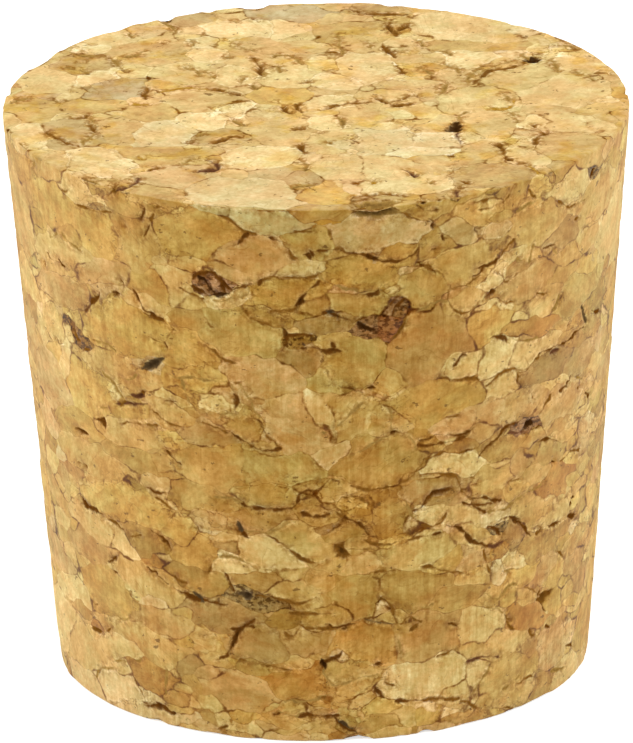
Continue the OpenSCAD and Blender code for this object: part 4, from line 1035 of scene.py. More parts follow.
def three_nearest(keys, gaps, count, total):
    vertex = keys // count
    order = np.lexsort((gaps, vertex))
    vertex, sorted_gaps, who = vertex[order], gaps[order], (keys % count)[order]
    first = np.searchsorted(vertex, np.arange(total))
    ends = np.searchsorted(vertex, np.arange(total), side="right")
    nearest = np.full((total, 3), 9.0)
    owners = np.zeros((total, 2), int)
    for k in range(3):
        has = first + k < ends
        nearest[has, k] = sorted_gaps[first[has] + k]
        if k < 2:
            owners[has, k] = who[first[has] + k]
    return nearest, owners


MARGIN = 0.32
FAR = 0.9


def layered(granules, keys, gaps, nearest, owners, edges, total):
    """Shares the granules out over layers so that no two near each other are in one layer.

    A granule's distance is then a smooth field in its layer, and the finish finds the crisp
    edge between granules wherever it falls inside a triangle.
    """
    count = len(granules.centres)
    vertex, who = keys // count, keys % count
    close = gaps - nearest[vertex, 0] < MARGIN
    close_v, close_g = vertex[close], who[close]
    start = np.searchsorted(close_v, np.arange(total))
    size = np.searchsorted(close_v, np.arange(total), side="right") - start
    both = np.concatenate([edges, edges[:, ::-1]])
    repeats = size[both[:, 0]]
    to_vertex = np.repeat(both[:, 1], repeats)
    offset = np.arange(repeats.sum()) - np.repeat(np.cumsum(repeats) - repeats, repeats)
    from_granule = close_g[np.repeat(start[both[:, 0]], repeats) + offset]
    star = np.unique(np.concatenate([close_v * count + close_g, to_vertex * count + from_granule]))
    star_v, star_g = star // count, star % count
    clashes = [set() for _ in range(count)]
    begins = np.flatnonzero(np.r_[True, star_v[1:] != star_v[:-1]])
    finishes = np.r_[begins[1:], len(star_v)]
    groups = {tuple(star_g[b:e]) for b, e in zip(begins, finishes) if e - b > 1}
    for group in groups:
        for a, b in combinations(group, 2):
            clashes[a].add(b)
            clashes[b].add(a)
    layer = share_out(clashes)
    found = np.clip(np.searchsorted(keys, star), 0, len(keys) - 1)
    star_gap = np.where(keys[found] == star, gaps[found], nearest[star_v, 0] + FAR)
    colours = np.array(granules.colours)
    fields = []
    for k in range(max(layer) + 1):
        field = np.empty((total, 4))
        field[:, :3] = colours[owners[:, 0]]
        field[:, 3] = nearest[:, 0] + FAR
        mine = layer[star_g] == k
        field[star_v[mine], :3] = colours[star_g[mine]]
        field[star_v[mine], 3] = star_gap[mine]
        fields.append(field)
    return fields


def share_out(clashes):
    """The lowest layer for each thing that none of those it clashes with has taken."""
    layer = np.full(len(clashes), -1)
    for i in sorted(range(len(clashes)), key=lambda i: -len(clashes[i])):
        taken = {layer[j] for j in clashes[i]}
        layer[i] = next(k for k in range(len(clashes) + 1) if k not in taken)
    return layer


# ---------------------------------------------------------------------------------------------
# Openings

OPENING_REACH = 0.7
BIG_OPENING = 0.3


def stroke_fields(path, flat):
    """Signed offset from a path, and its half width there, at points of the flattened skin."""
    best = np.full(len(flat), -9.0)
    offset, width = np.full(len(flat), 9.0), np.full(len(flat), -9.0)
    for (u0, v0, w0), (u1, v1, w1) in zip(path[:-1], path[1:]):
        run = np.array([u1 - u0, v1 - v0])
        length = np.linalg.norm(run)
        run = run / length
        rel = flat - (u0, v0)
        along = rel @ run
        side = rel[:, 0] * run[1] - rel[:, 1] * run[0]
        past = np.maximum(np.maximum(-along, along - length), 0)
        w = w0 + (w1 - w0) * np.clip(along / length, 0, 1) - past
        better = w - np.abs(side) > best
        best[better] = (w - np.abs(side))[better]
        offset[better], width[better] = side[better], w[better]
    return offset, width, best


SNAP_REACH = 0.3
SNAP_STEP = 0.5


def along_seams(path, flat, gap):
    """The path in short steps, each moved onto the seam between granules that is nearest."""
    steps = []
    for (u0, v0, w0), (u1, v1, w1) in zip(path[:-1], path[1:]):
        count = max(1, round(math.hypot(u1 - u0, v1 - v0) / SNAP_STEP))
        steps += [(u0 + (u1 - u0) * k / count, v0 + (v1 - v0) * k / count, w0 + (w1 - w0) * k / count) for k in range(count)]
    steps = np.array(steps + [path[-1]])
    moved = steps[:, :2].copy()
    for i, (u, v, _) in enumerate(steps):
        far = np.hypot(flat[:, 0] - u, flat[:, 1] - v)
        near = np.flatnonzero(far < SNAP_REACH)
        if len(near):
            moved[i] = flat[near[np.argmin(gap[near] + 0.5 * far[near] ** 2)]]
    if len(moved) > 2:
        moved[1:-1] = (moved[:-2] + 2 * moved[1:-1] + moved[2:]) / 4
    keep = [0] + [i for i in range(1, len(moved)) if np.hypot(*(moved[i] - moved[i - 1])) > 0.05]
    if len(keep) < 2:
        shift = moved[0] - steps[0, :2]
        return [(u + shift[0], v + shift[1], w) for u, v, w in path]
    return [(*moved[i], steps[i, 2]) for i in keep]


def opening_fields(points, tree, gap):
    """Layers of offset, half width and lining for all the listed openings."""
    strokes = []
    for on_large_face, table in ((False, SIDE_OPENINGS), (True, TOP_OPENINGS)):
        for lining, path in table:
            if on_large_face:
                middle = on_top(*np.mean([p[:2] for p in path], axis=0))
                flat_path = path
            else:
                azimuth, z = np.mean([p[:2] for p in path], axis=0)
                middle = on_side(azimuth, z)
                arc = math.radians(1) * skin_r(z)
                flat_path = [((a - azimuth) * arc, h, w) for a, h, w in path]
            spread = max(math.dist(p[:2], q[:2]) for p in flat_path for q in flat_path)
            index = np.array([f[1] for f in tree.find_range(Vector(middle), spread + 1.5)])
            p = points[index]
            if on_large_face:
                facing = p[:, 2] > LENGTH - LARGE_RIM_R
                flat = p[:, :2]
            else:
                facing = np.hypot(p[:, 0], p[:, 1]) > skin_r(p[:, 2]) - LARGE_RIM_R
                angle = np.degrees(np.arctan2(p[:, 0], -p[:, 1])) - azimuth
                flat = np.column_stack([angle * arc, p[:, 2]])
            if max(p[2] for p in flat_path) < BIG_OPENING:
                flat_path = along_seams(flat_path, flat[facing], gap[index[facing]])
            offset, width, best = stroke_fields(flat_path, flat)
            near = facing & (best > -OPENING_REACH)
            strokes.append((index[near], offset[near], width[near], LINING[lining]))
    clashes = [set() for _ in strokes]
    touched = {}
    for i, (index, _, _, _) in enumerate(strokes):
        for v in index:
            touched.setdefault(int(v), []).append(i)
    for group in touched.values():
        for a, b in combinations(group, 2):
            clashes[a].add(b)
            clashes[b].add(a)
    layer = share_out(clashes)
    fields = [np.tile((5.0, -5.0, 0.2), (len(points), 1)) for _ in range(max(layer) + 1)]
    for (index, offset, width, lining), k in zip(strokes, layer):
        fields[k][index] = np.column_stack([offset, width, np.full(len(index), lining)])
    return fields


def corner_pits(points, nearest, rng):
    """How wide a pit stands open where three granules meet, as a smooth field over the skin."""
    gap = nearest[:, 2] - nearest[:, 0]
    order = np.argsort(gap)
    order = order[gap[order] < 0.16]
    tree = kdtree.KDTree(len(order))
    for i, v in enumerate(order):
        tree.insert(Vector(points[v]), i)
    tree.balance()
    claimed = np.zeros(len(order), bool)
    all_tree = kdtree.KDTree(len(points))
    for i, p in enumerate(points):
        all_tree.insert(Vector(p), i)
    all_tree.balance()
    field = np.zeros(len(points))
    for i, v in enumerate(order):
        if claimed[i]:
            continue
        for _, j, _ in tree.find_range(Vector(points[v]), 0.9):
            claimed[j] = True
        azimuth = abs(math.degrees(math.atan2(points[v][0], -points[v][1])))
        seen = azimuth < 84 or points[v][2] > LENGTH - 1
        chance, wide = rng.uniform(0, 1), rng.uniform(0.12, 0.5)
        if chance > (0.04 if seen else 0.22):
            continue
        reach = 0.5 + 2.2 * wide
        for _, j, far in all_tree.find_range(Vector(points[v]), reach):
            field[j] = max(field[j], (0.7 if seen else 1) * wide * (1 - far / reach))
    return field


def chip_depth(points, chips, corner_r, corner_z):
    """Depth of the rim's chips."""
    azimuth = np.arctan2(points[:, 0], -points[:, 1])
    far = np.hypot(np.hypot(points[:, 0], points[:, 1]) - corner_r, points[:, 2] - corner_z)
    depth = np.zeros(len(points))
    for centre, half_w, deep in chips:
        turn = (azimuth - math.radians(centre) + math.pi) % (2 * math.pi) - math.pi
        along = np.abs(turn) * corner_r / half_w
        depth = np.maximum(depth, deep * np.clip(1.25 - along, 0, 1) * np.clip(1.4 - far / (1.6 * deep), 0, 1))
    return depth


# ---------------------------------------------------------------------------------------------
# The stopper

def add_attribute(mesh, name, kind, values):
    attribute = mesh.attributes.new(name, kind, "POINT")
    key = {"FLOAT": "value", "FLOAT_VECTOR": "vector", "FLOAT_COLOR": "color"}[kind]
    attribute.data.foreach_set(key, np.asarray(values, np.float32).ravel())


def build_stopper():
    rng = np.random.default_rng(SEED)
    points, normals, faces = ground_skin()
    total = len(points)
    edges = np.unique(np.sort(np.concatenate([faces[:, [0, 1]], faces[:, [1, 2]], faces[:, [2, 0]]]), axis=1), axis=0)
    moved = warped(points)
    tree = kdtree.KDTree(total)
    for i, p in enumerate(moved):
        tree.insert(Vector(p), i)
    tree.balance()
    granules = Granules()
    placed_granules(granules, np.random.default_rng(SEED + 1))
    fill_granules(granules, rng)
    keys, gaps = relevant_granules(granules, moved, tree)
    nearest, owners = three_nearest(keys, gaps, len(granules.centres), total)
    fields = layered(granules, keys, gaps, nearest, owners, edges, total)

    still = kdtree.KDTree(total)
    for i, p in enumerate(points):
        still.insert(Vector(p), i)
    still.balance()
    openings = opening_fields(points, still, nearest[:, 1] - nearest[:, 0])
    pits = corner_pits(points, nearest, rng)

    open_by = np.max([f[:, 1] - np.abs(f[:, 0]) for f in openings], axis=0)
    pit_by = pits - (nearest[:, 2] - nearest[:, 0]) * 0.5
    depth = 1.5 * np.clip(open_by, 0, 0.7) + 1.4 * np.clip(pit_by, 0, 0.6)
    height = rng.uniform(-0.05, 0.05, len(granules.centres))
    seam = np.clip((nearest[:, 1] - nearest[:, 0]) / 0.5, 0, 1)
    depth += 0.05 - height[owners[:, 0]] * seam
    rims = chip_depth(points, LARGE_RIM_CHIPS, LARGE_R, LENGTH) + chip_depth(points, SMALL_RIM_CHIPS, SMALL_R, 0)
    rough = np.clip(noise_values(points, 0.9, 5.0) - 0.1, 0, 1)
    corner = np.minimum(
        np.hypot(np.hypot(points[:, 0], points[:, 1]) - LARGE_R, points[:, 2] - LENGTH),
        np.hypot(np.hypot(points[:, 0], points[:, 1]) - SMALL_R, points[:, 2]),
    )
    depth += 0.7 * rims + 0.09 * rough * np.clip(1 - corner / 0.8, 0, 1)
    final = points - normals * depth[:, None]
    final[:, 2] = np.clip(final[:, 2], 0, LENGTH)

    mesh = bpy.data.meshes.new("stopper_skin")
    mesh.from_pydata((final * MM).tolist(), [], faces.tolist())
    mesh.update()
    mesh.polygons.foreach_set("use_smooth", np.ones(len(faces), bool))
    for k, field in enumerate(fields):
        add_attribute(mesh, f"granule_{k}", "FLOAT_COLOR", field)
    for k, field in enumerate(openings):
        add_attribute(mesh, f"opening_{k}", "FLOAT_VECTOR", field)
    add_attribute(mesh, "pit", "FLOAT", pits)
    piece = bpy.data.objects.new("cork_stopper", mesh)
    bpy.context.scene.collection.objects.link(piece)
    print("granules", len(granules.centres), "layers", len(fields), "opening layers", len(openings), "triangles", len(faces))
    return piece, len(fields), len(openings)


# ---------------------------------------------------------------------------------------------
# The finish

class Maker:
    """Short ways to add nodes to one material. Inputs are numbers or the outputs of other nodes."""

    def __init__(self, name):
        self.material = bpy.data.materials.new(name)
        self.material.use_nodes = True
        self.tree = self.material.node_tree
        self.tree.nodes.clear()

    def node(self, kind, **settings):
        made = self.tree.nodes.new(kind)
        for key, value in settings.items():
            setattr(made, key, value)
        return made

    def feed(self, socket, value):
        if isinstance(value, bpy.types.NodeSocket):
            self.tree.links.new(value, socket)
        else:
            socket.default_value = value

    def math(self, operation, a, b=0.0, clamp=False):
        made = self.node("ShaderNodeMath", operation=operation, use_clamp=clamp)
        self.feed(made.inputs[0], a)
        self.feed(made.inputs[1], b)
        return made.outputs[0]

    def vector(self, operation, a, b=(0.0, 0.0, 0.0)):
        made = self.node("ShaderNodeVectorMath", operation=operation)
        self.feed(made.inputs[0], a)
        self.feed(made.inputs[1], b)
        return made.outputs[0]

    def scaled(self, vector, scale):
        made = self.node("ShaderNodeVectorMath", operation="SCALE")
        self.feed(made.inputs[0], vector)
        self.feed(made.inputs["Scale"], scale)
        return made.outputs[0]

    def mix(self, share, a, b, blend="MIX"):
        made = self.node("ShaderNodeMix", data_type="RGBA", blend_type=blend)
        self.feed(made.inputs["Factor"], share)
        for socket, value in ((made.inputs[6], a), (made.inputs[7], b)):
            self.feed(socket, (*value, 1.0) if isinstance(value, tuple) and len(value) == 3 else value)
        return made.outputs[2]

    def noise(self, vector, scale, detail=2.0, roughness=0.5):
        made = self.node("ShaderNodeTexNoise")
        self.feed(made.inputs["Vector"], vector)
        made.inputs["Scale"].default_value = scale
        made.inputs["Detail"].default_value = detail
        made.inputs["Roughness"].default_value = roughness
        return made

    def between(self, value, low, high, to_low=0.0, to_high=1.0, smooth=True):
        made = self.node("ShaderNodeMapRange", interpolation_type="SMOOTHSTEP" if smooth else "LINEAR")
        for socket, number in zip(made.inputs, (value, low, high, to_low, to_high)):
            self.feed(socket, number)
        return made.outputs[0]

    def attribute(self, name):
        return self.node("ShaderNodeAttribute", attribute_name=name)


def deepened(red):
    """The factor on each part of a colour that darkens or lightens its red by this much."""
    return tuple(red**power for power in DEEPENING)


def cork_finish(granule_layers, opening_layers):
    m = Maker("cork")
    place = m.scaled(m.node("ShaderNodeTexCoord").outputs["Object"], 1 / MM)
    ragged = m.noise(place, 2.2, 3.0)
    ragged_parts = m.node("ShaderNodeSeparateColor")
    m.feed(ragged_parts.inputs[0], ragged.outputs["Color"])
    fine = m.noise(m.vector("ADD", place, (40.0, 0.0, 0.0)), 5.5, 2.0)
    fine_parts = m.node("ShaderNodeSeparateColor")
    m.feed(fine_parts.inputs[0], fine.outputs["Color"])

    nearest, second, third = 9.0, 9.0, 9.0
    colour = None
    for k in range(granule_layers):
        layer = m.attribute(f"granule_{k}")
        wobble = m.math("MULTIPLY", m.math("SUBTRACT", ragged_parts.outputs[k % 3], 0.5), (0.3, -0.3)[k % 2])
        wobble = m.math("ADD", wobble, m.math("MULTIPLY", m.math("SUBTRACT", fine_parts.outputs[(k + 1) % 3], 0.5), 0.08))
        d = m.math("ADD", layer.outputs["Alpha"], wobble)
        if colour is None:
            nearest, colour = d, layer.outputs["Color"]
            continue
        wins = m.math("LESS_THAN", d, nearest)
        colour = m.mix(wins, colour, layer.outputs["Color"])
        if k > 1:
            third = m.math("MINIMUM", third, m.math("MAXIMUM", second, d))
            second = m.math("MINIMUM", second, m.math("MAXIMUM", nearest, d))
        else:
            second = m.math("MAXIMUM", nearest, d)
        nearest = m.math("MINIMUM", nearest, d)
    seam = m.math("SUBTRACT", second, nearest)
    corner = m.math("SUBTRACT", third, nearest)
    granule_colour = colour

    normal_z = m.node("ShaderNodeSeparateXYZ")
    m.feed(normal_z.inputs[0], m.node("ShaderNodeNewGeometry").outputs["True Normal"])
    on_end = m.between(m.math("ABSOLUTE", normal_z.outputs[2]), 0.4, 0.8)
    on_flank = m.math("SUBTRACT", 1.0, on_end)

    # Each granule has its own fibre direction and mottling, because its colour picks them.
    pick = m.noise(m.scaled(colour, 60.0), 1.0, 0.0)
    turn = m.node("ShaderNodeVectorRotate", rotation_type="EULER_XYZ")
    m.feed(turn.inputs["Vector"], place)
    spin = m.vector("MULTIPLY", m.vector("SUBTRACT", pick.outputs["Color"], (0.5, 0.5, 0.5)), (4.0, 4.0, 14.0))
    m.feed(turn.inputs["Rotation"], spin)
    own = m.vector("ADD", turn.outputs[0], m.scaled(colour, 60.0))
    flake = m.noise(m.vector("MULTIPLY", own, (0.7, 1.0, 1.5)), 0.6, 4.0, 0.64).outputs["Fac"]
    fibre = m.noise(m.vector("MULTIPLY", own, (0.5, 1.0, 2.2)), 1.7, 3.0, 0.62).outputs["Fac"]
    grain = m.noise(place, 3.2, 3.0, 0.62).outputs["Fac"]
    dust = m.noise(place, 9.0, 2.0).outputs["Fac"]
    cloud = m.noise(place, 0.16, 2.0).outputs["Fac"]

    def toned(colour, value, low, high, darkest, lightest):
        """Darkens and warms, or lightens, as value runs from low to high."""
        darker = m.mix(1.0, colour, deepened(darkest), "MULTIPLY")
        lighter = m.mix(1.0, colour, deepened(lightest), "MULTIPLY")
        return m.mix(m.between(value, low, high), darker, lighter)

    # Dark granules are crumbly bark, with near black gaps and paler flecks. Pale ones are plain
    red = m.node("ShaderNodeSeparateColor")
    m.feed(red.inputs[0], granule_colour)
    barky = m.between(red.outputs[0], 0.34, 0.43, 1.0, 0.0)
    plain = m.between(red.outputs[1], 0.38, 0.50)
    flaked = toned(colour, flake, 0.30, 0.72, 0.80, 1.12)
    colour = m.mix(m.math("MULTIPLY", plain, 0.55), flaked, colour)
    bark_gap = m.between(m.noise(m.vector("MULTIPLY", place, (1.0, 1.0, 1.4)), 2.6, 3.0, 0.62).outputs["Fac"], 0.46, 0.60)
    bark_fleck = m.between(m.noise(m.vector("ADD", place, (11.0, 0.0, 0.0)), 3.4, 3.0, 0.6).outputs["Fac"], 0.54, 0.64)
    colour = m.mix(m.math("MULTIPLY", barky, m.math("MULTIPLY", bark_gap, 0.92)), colour, m.mix(1.0, colour, (0.30, 0.22, 0.14), "MULTIPLY"))
    colour = m.mix(m.math("MULTIPLY", barky, m.math("MULTIPLY", bark_fleck, 0.7)), colour, m.mix(1.0, colour, (1.45, 1.5, 1.6), "MULTIPLY"))
    colour = toned(colour, fibre, 0.28, 0.74, 0.96, 1.035)
    colour = toned(colour, grain, 0.30, 0.70, 0.91, 1.07)
    colour = toned(colour, dust, 0.30, 0.70, 0.98, 1.02)
    colour = toned(colour, cloud, 0.35, 0.65, 0.94, 1.05)
    stain = m.noise(m.vector("MULTIPLY", m.vector("ADD", place, m.scaled(colour, 3.0)), (1.0, 1.0, 1.5)), 0.38, 3.0, 0.6)
    warm = m.mix(1.0, colour, (1.04, 0.955, 0.90), "MULTIPLY")
    cool = m.mix(1.0, colour, (0.965, 1.03, 1.04), "MULTIPLY")
    colour = m.mix(m.between(stain.outputs["Fac"], 0.36, 0.64), warm, cool)
    # Painted shading across each granule: lighter or darker towards its middle by its own pick, so that it looks domed
    # or dished
    painted_dome_shade = m.math("MULTIPLY", m.between(seam, 0.0, 1.4), m.between(pick.outputs["Fac"], 0.36, 0.64, -1.0, 1.0))
    colour = toned(colour, painted_dome_shade, -1.0, 1.0, 0.92, 1.07)
    flank_colour = m.mix(1.0, colour, FLANK_TINT, "MULTIPLY")
    # The ends' colour gets the painted reflection added, a pale veil in place of reflected light.
    end_colour = m.mix(1.0, m.mix(1.0, colour, END_TINT, "MULTIPLY"), END_PAINTED_SHEEN, "ADD")
    colour = m.mix(on_flank, end_colour, flank_colour)

    # Amber stains, most of all on the ends
    amber = m.noise(m.vector("ADD", m.vector("MULTIPLY", place, (1.0, 1.0, 1.4)), (0.0, 30.0, 0.0)), 0.42, 3.0, 0.6)
    amber_share = m.math("MULTIPLY", m.between(amber.outputs["Fac"], 0.5, 0.66), m.between(on_end, 0.0, 1.0, 0.4, 1.0))
    amber_share = m.math("MULTIPLY", amber_share, m.math("SUBTRACT", 1.0, m.math("MULTIPLY", plain, 0.85)))
    colour = m.mix(amber_share, colour, m.mix(1.0, colour, (0.94, 0.85, 0.55), "MULTIPLY"))

    # Growth lines inside the granules
    rings = m.noise(m.vector("MULTIPLY", own, (0.6, 0.9, 1.9)), 0.42, 1.0, 0.4).outputs["Fac"]
    ring_line = m.between(m.math("ABSOLUTE", m.math("SUBTRACT", m.math("FRACT", m.math("MULTIPLY", rings, 9.0)), 0.5)), 0.0, 0.07, 1.0, 0.0)
    ring_line = m.math("MULTIPLY", ring_line, m.between(m.noise(place, 0.5, 2.0).outputs["Fac"], 0.48, 0.6, 0.0, 0.5))
    colour = m.mix(ring_line, colour, m.mix(1.0, colour, deepened(0.6), "MULTIPLY"))

    # Fine upright scratches from the grinding belt, on the flank alone
    scratch_place = m.vector("MULTIPLY", place, (1.0, 1.0, 0.05))
    scratch = m.noise(scratch_place, 2.6, 3.0, 0.7).outputs["Fac"]
    scratch_zone = m.between(m.noise(place, 0.07, 1.0).outputs["Fac"], 0.4, 0.6, 0.35, 1.0)
    scratch_mask = m.math("MULTIPLY", m.between(scratch, 0.28, 0.72, -1.0, 1.0, smooth=False), on_flank)
    scratch_mask = m.math("MULTIPLY", scratch_mask, scratch_zone)
    scratch_gain = m.math("ADD", 1.0, m.math("MULTIPLY", scratch_mask, 0.2))
    colour = toned(colour, scratch_gain, 0.8, 1.2, 0.88, 1.11)

    # Crumbs pressed between the granules
    crumb_place = m.vector("MULTIPLY", m.vector("ADD", place, m.scaled(ragged.outputs["Color"], 0.5)), (1.0, 1.0, 1.7))
    crumbs = m.node("ShaderNodeTexVoronoi", feature="DISTANCE_TO_EDGE")
    m.feed(crumbs.inputs["Vector"], crumb_place)
    crumbs.inputs["Scale"].default_value = 1.15
    crumb_tone = m.node("ShaderNodeTexVoronoi")
    m.feed(crumb_tone.inputs["Vector"], crumb_place)
    crumb_tone.inputs["Scale"].default_value = 1.15
    tone_parts = m.node("ShaderNodeSeparateColor")
    m.feed(tone_parts.inputs[0], crumb_tone.outputs["Color"])
    zone = m.noise(place, 0.2, 3.0, 0.6).outputs["Fac"]
    crumb_zone = m.math("MULTIPLY", m.between(zone, 0.5, 0.62), m.between(seam, 0.5, 1.1, 1.0, 0.0))
    colour = m.mix(crumb_zone, colour, toned(colour, tone_parts.outputs[0], 0.0, 1.0, 0.87, 1.12))
    crumb_line = m.between(crumbs.outputs["Distance"], 0.0, 0.13, 1.0, 0.0)
    crumb_line = m.math("MULTIPLY", crumb_line, m.math("MULTIPLY", crumb_zone, m.between(fine_parts.outputs[0], 0.4, 0.6)))

    # Brown glue lines between the granules, broken and of uneven width. Beside them a darker band, partly brown stain
    # and partly painted shade, and a painted highlight along some granule edges
    width_noise = m.noise(m.vector("ADD", place, (0.0, 90.0, 0.0)), 0.5, 4.0, 0.65).outputs["Fac"]
    line_width = m.between(width_noise, 0.50, 0.74, 0.0, 0.26, smooth=False)
    line = m.between(m.math("SUBTRACT", seam, line_width), -0.08, 0.2, 1.0, 0.0)
    line = m.math("MULTIPLY", line, m.between(width_noise, 0.46, 0.68, 0.0, 1.0))
    hair = m.math("MULTIPLY", m.between(seam, 0.0, 0.2, 1.0, 0.0), m.between(width_noise, 0.40, 0.56, 0.10, 0.62))
    hair = m.math("MULTIPLY", hair, m.between(on_end, 0.0, 1.0, 0.8, 0.45))
    # A darker band beside the seams: partly brown stain, partly painted shade
    stain_and_shade = m.math("MULTIPLY", m.between(seam, 0.0, 0.8, 0.44, 0.0), m.between(width_noise, 0.44, 0.64))
    # A painted highlight just inside some seams, as where a raised granule edge catches the light
    painted_seam_highlight = m.math("MULTIPLY", m.between(m.math("SUBTRACT", seam, line_width), 0.03, 0.12), m.between(seam, 0.2, 0.5, 1.0, 0.0))
    painted_seam_highlight = m.math("MULTIPLY", painted_seam_highlight, m.between(pick.outputs["Fac"], 0.48, 0.56, 0.0, 0.7))
    # The darker band beside the seams: brown stain and painted shade
    colour = m.mix(stain_and_shade, colour, m.mix(1.0, colour, deepened(0.72), "MULTIPLY"))
    # The painted highlight beside the seams
    colour = m.mix(painted_seam_highlight, colour, m.mix(1.0, colour, deepened(1.18), "MULTIPLY"))
    colour = m.mix(hair, colour, m.mix(1.0, colour, deepened(0.62), "MULTIPLY"))
    colour = m.mix(m.math("MAXIMUM", line, m.math("MULTIPLY", crumb_line, 0.7)), colour, m.mix(1.0, colour, deepened(0.36), "MULTIPLY"))

    # Specks of dark bark
    speck_noise = m.noise(m.vector("MULTIPLY", place, (1.0, 1.0, 1.5)), 1.5, 3.0, 0.6).outputs["Fac"]
    speck = m.between(speck_noise, 0.66, 0.71, 0.0, 0.75)
    colour = m.mix(speck, colour, (0.16, 0.07, 0.012))

    # Openings: the listed ones and the pits where three granules meet
    open_by = None
    lining = 0.2
    thin_noise = m.noise(m.vector("ADD", place, (0.0, 0.0, 70.0)), 0.9, 2.0).outputs["Fac"]
    thinning = m.between(thin_noise, 0.36, 0.64, -0.10, 0.08, smooth=False)
    wide = m.between(on_end, 0.0, 1.0, 0.88, 1.2)
    for k in range(opening_layers):
        parts = m.node("ShaderNodeSeparateXYZ")
        m.feed(parts.inputs[0], m.attribute(f"opening_{k}").outputs["Vector"])
        wobble = m.math("MULTIPLY", m.math("SUBTRACT", ragged_parts.outputs[k % 3], 0.5), 0.34)
        wobble = m.math("ADD", wobble, m.math("MULTIPLY", m.math("SUBTRACT", fine_parts.outputs[k % 3], 0.5), 0.06))
        across = m.math("ABSOLUTE", m.math("ADD", parts.outputs[0], wobble))
        this = m.math("SUBTRACT", m.math("ADD", m.math("MULTIPLY", parts.outputs[1], wide), thinning), across)
        if open_by is None:
            open_by, lining = this, parts.outputs[2]
            continue
        wins = m.math("GREATER_THAN", this, open_by)
        lining = m.math("ADD", m.math("MULTIPLY", wins, parts.outputs[2]), m.math("MULTIPLY", m.math("SUBTRACT", 1.0, wins), lining))
        open_by = m.math("MAXIMUM", this, open_by)
    pit_field = m.attribute("pit").outputs["Fac"]
    pit = m.math("SUBTRACT", pit_field, m.math("MULTIPLY", corner, 0.5))
    pit = m.math("SUBTRACT", pit, m.math("LESS_THAN", pit_field, 0.02))
    softened = m.math("MULTIPLY", open_by, m.between(on_end, 0.0, 1.0, 1.0, 0.6))
    hole = m.math("MAXIMUM", m.between(softened, -0.1, 0.08), m.between(pit, -0.04, 0.1))
    # Painted shade: the linings darken towards the middle of wide openings and pits
    deep = m.math("MAXIMUM", m.between(open_by, 0.05, 0.3), m.between(pit, 0.05, 0.3))
    # A darker halo round the openings and pits: partly brown stain, partly painted shade
    stain_and_shade_halo = m.math("MAXIMUM", m.between(open_by, -0.7, -0.1, 0.0, 0.6), m.between(pit, -0.15, 0.0, 0.0, 0.4))
    stain_and_shade_halo = m.math("MULTIPLY", stain_and_shade_halo, m.between(ragged_parts.outputs[2], 0.42, 0.6))
    stain_and_shade_halo = m.math("MULTIPLY", stain_and_shade_halo, m.between(on_end, 0.0, 1.0, 0.9, 1.4), clamp=True)
    # A paler rim just outside the openings: partly paler cut cork, partly painted highlight
    edge = m.math("MULTIPLY", m.between(open_by, -0.34, -0.14), m.between(fine_parts.outputs[2], 0.36, 0.6, 0.0, 0.9))
    ramp = m.node("ShaderNodeValToRGB")
    stops = [
        (0.0, (0.040, 0.013, 0.002)), (0.2, (0.115, 0.038, 0.004)), (0.4, (0.18, 0.073, 0.009)),
        (0.6, (0.115, 0.042, 0.017)), (0.8, (0.088, 0.052, 0.021)), (1.0, (0.29, 0.165, 0.037)),
    ]
    for position, rgb in stops:
        stop = ramp.color_ramp.elements.new(position / 1.2)
        stop.color = (*rgb, 1)
    ramp.color_ramp.elements[-1].color = (0.36, 0.19, 0.02, 1)
    ramp.color_ramp.elements.remove(ramp.color_ramp.elements[0])
    m.feed(ramp.inputs[0], m.math("DIVIDE", lining, 1.2))
    # The dark cork lining, darker still towards the middle by painted shade
    lined = m.mix(m.math("MULTIPLY", deep, 0.55), ramp.outputs["Color"], m.mix(1.0, ramp.outputs["Color"], (0.3, 0.2, 0.1), "MULTIPLY"))
    crumbly = m.between(m.noise(place, 4.0, 2.0, 0.6).outputs["Fac"], 0.4, 0.62)
    lined = m.mix(m.math("MULTIPLY", crumbly, 0.5), lined, m.mix(1.0, lined, (1.7, 1.8, 2.0), "MULTIPLY"))
    # The halo of brown stain and painted shade round the openings
    colour = m.mix(stain_and_shade_halo, colour, m.mix(1.0, colour, deepened(0.6), "MULTIPLY"))
    colour = m.mix(m.math("MULTIPLY", stain_and_shade_halo, m.math("MULTIPLY", crumbly, 0.6)), colour, m.mix(1.0, colour, deepened(0.5), "MULTIPLY"))
    # The paler rim round the openings: cut cork and painted highlight
    colour = m.mix(edge, colour, m.mix(1.0, colour, (1.18, 1.24, 1.5), "MULTIPLY"))
    colour = m.mix(m.math("MULTIPLY", hole, 0.97), colour, lined)

    # Painted sheen: the flank is made paler where it turns away from the view, in place of reflected white light,
    # except inside its cracks
    facing = m.node("ShaderNodeLayerWeight").outputs["Facing"]
    painted_sheen = m.math("MULTIPLY", m.between(facing, 0.08, 0.85, 0.0, 1.15, smooth=False), m.math("SUBTRACT", 1.0, hole))
    painted_sheen = m.math("MULTIPLY", painted_sheen, on_flank)
    colour = m.vector("ADD", colour, m.scaled((0.072, 0.084, 0.078), painted_sheen))

    rough = m.between(flake, 0.3, 0.7, 0.7, 0.9)
    chips = m.noise(m.vector("MULTIPLY", place, (0.8, 0.8, 1.2)), 0.8, 4.0, 0.64).outputs["Fac"]
    parts = ((grain, 0.06), (scratch, 0.02), (chips, 0.22))
    relief = 0.0
    for part, height in parts:
        relief = m.math("ADD", relief, m.math("MULTIPLY", part, height))
    bump = m.node("ShaderNodeBump")
    bump.inputs["Strength"].default_value = 0.5
    bump.inputs["Distance"].default_value = MM
    m.feed(bump.inputs["Height"], relief)

    surface = m.node("ShaderNodeBsdfPrincipled")
    surface.inputs["Specular IOR Level"].default_value = 0.0
    m.feed(surface.inputs["Base Color"], colour)
    m.feed(surface.inputs["Roughness"], rough)
    m.feed(surface.inputs["Normal"], bump.outputs[0])
    m.feed(m.node("ShaderNodeOutputMaterial").inputs[0], surface.outputs[0])
    return m.material




# ---------------------------------------------------------------------------------------------
# Floor, light and camera

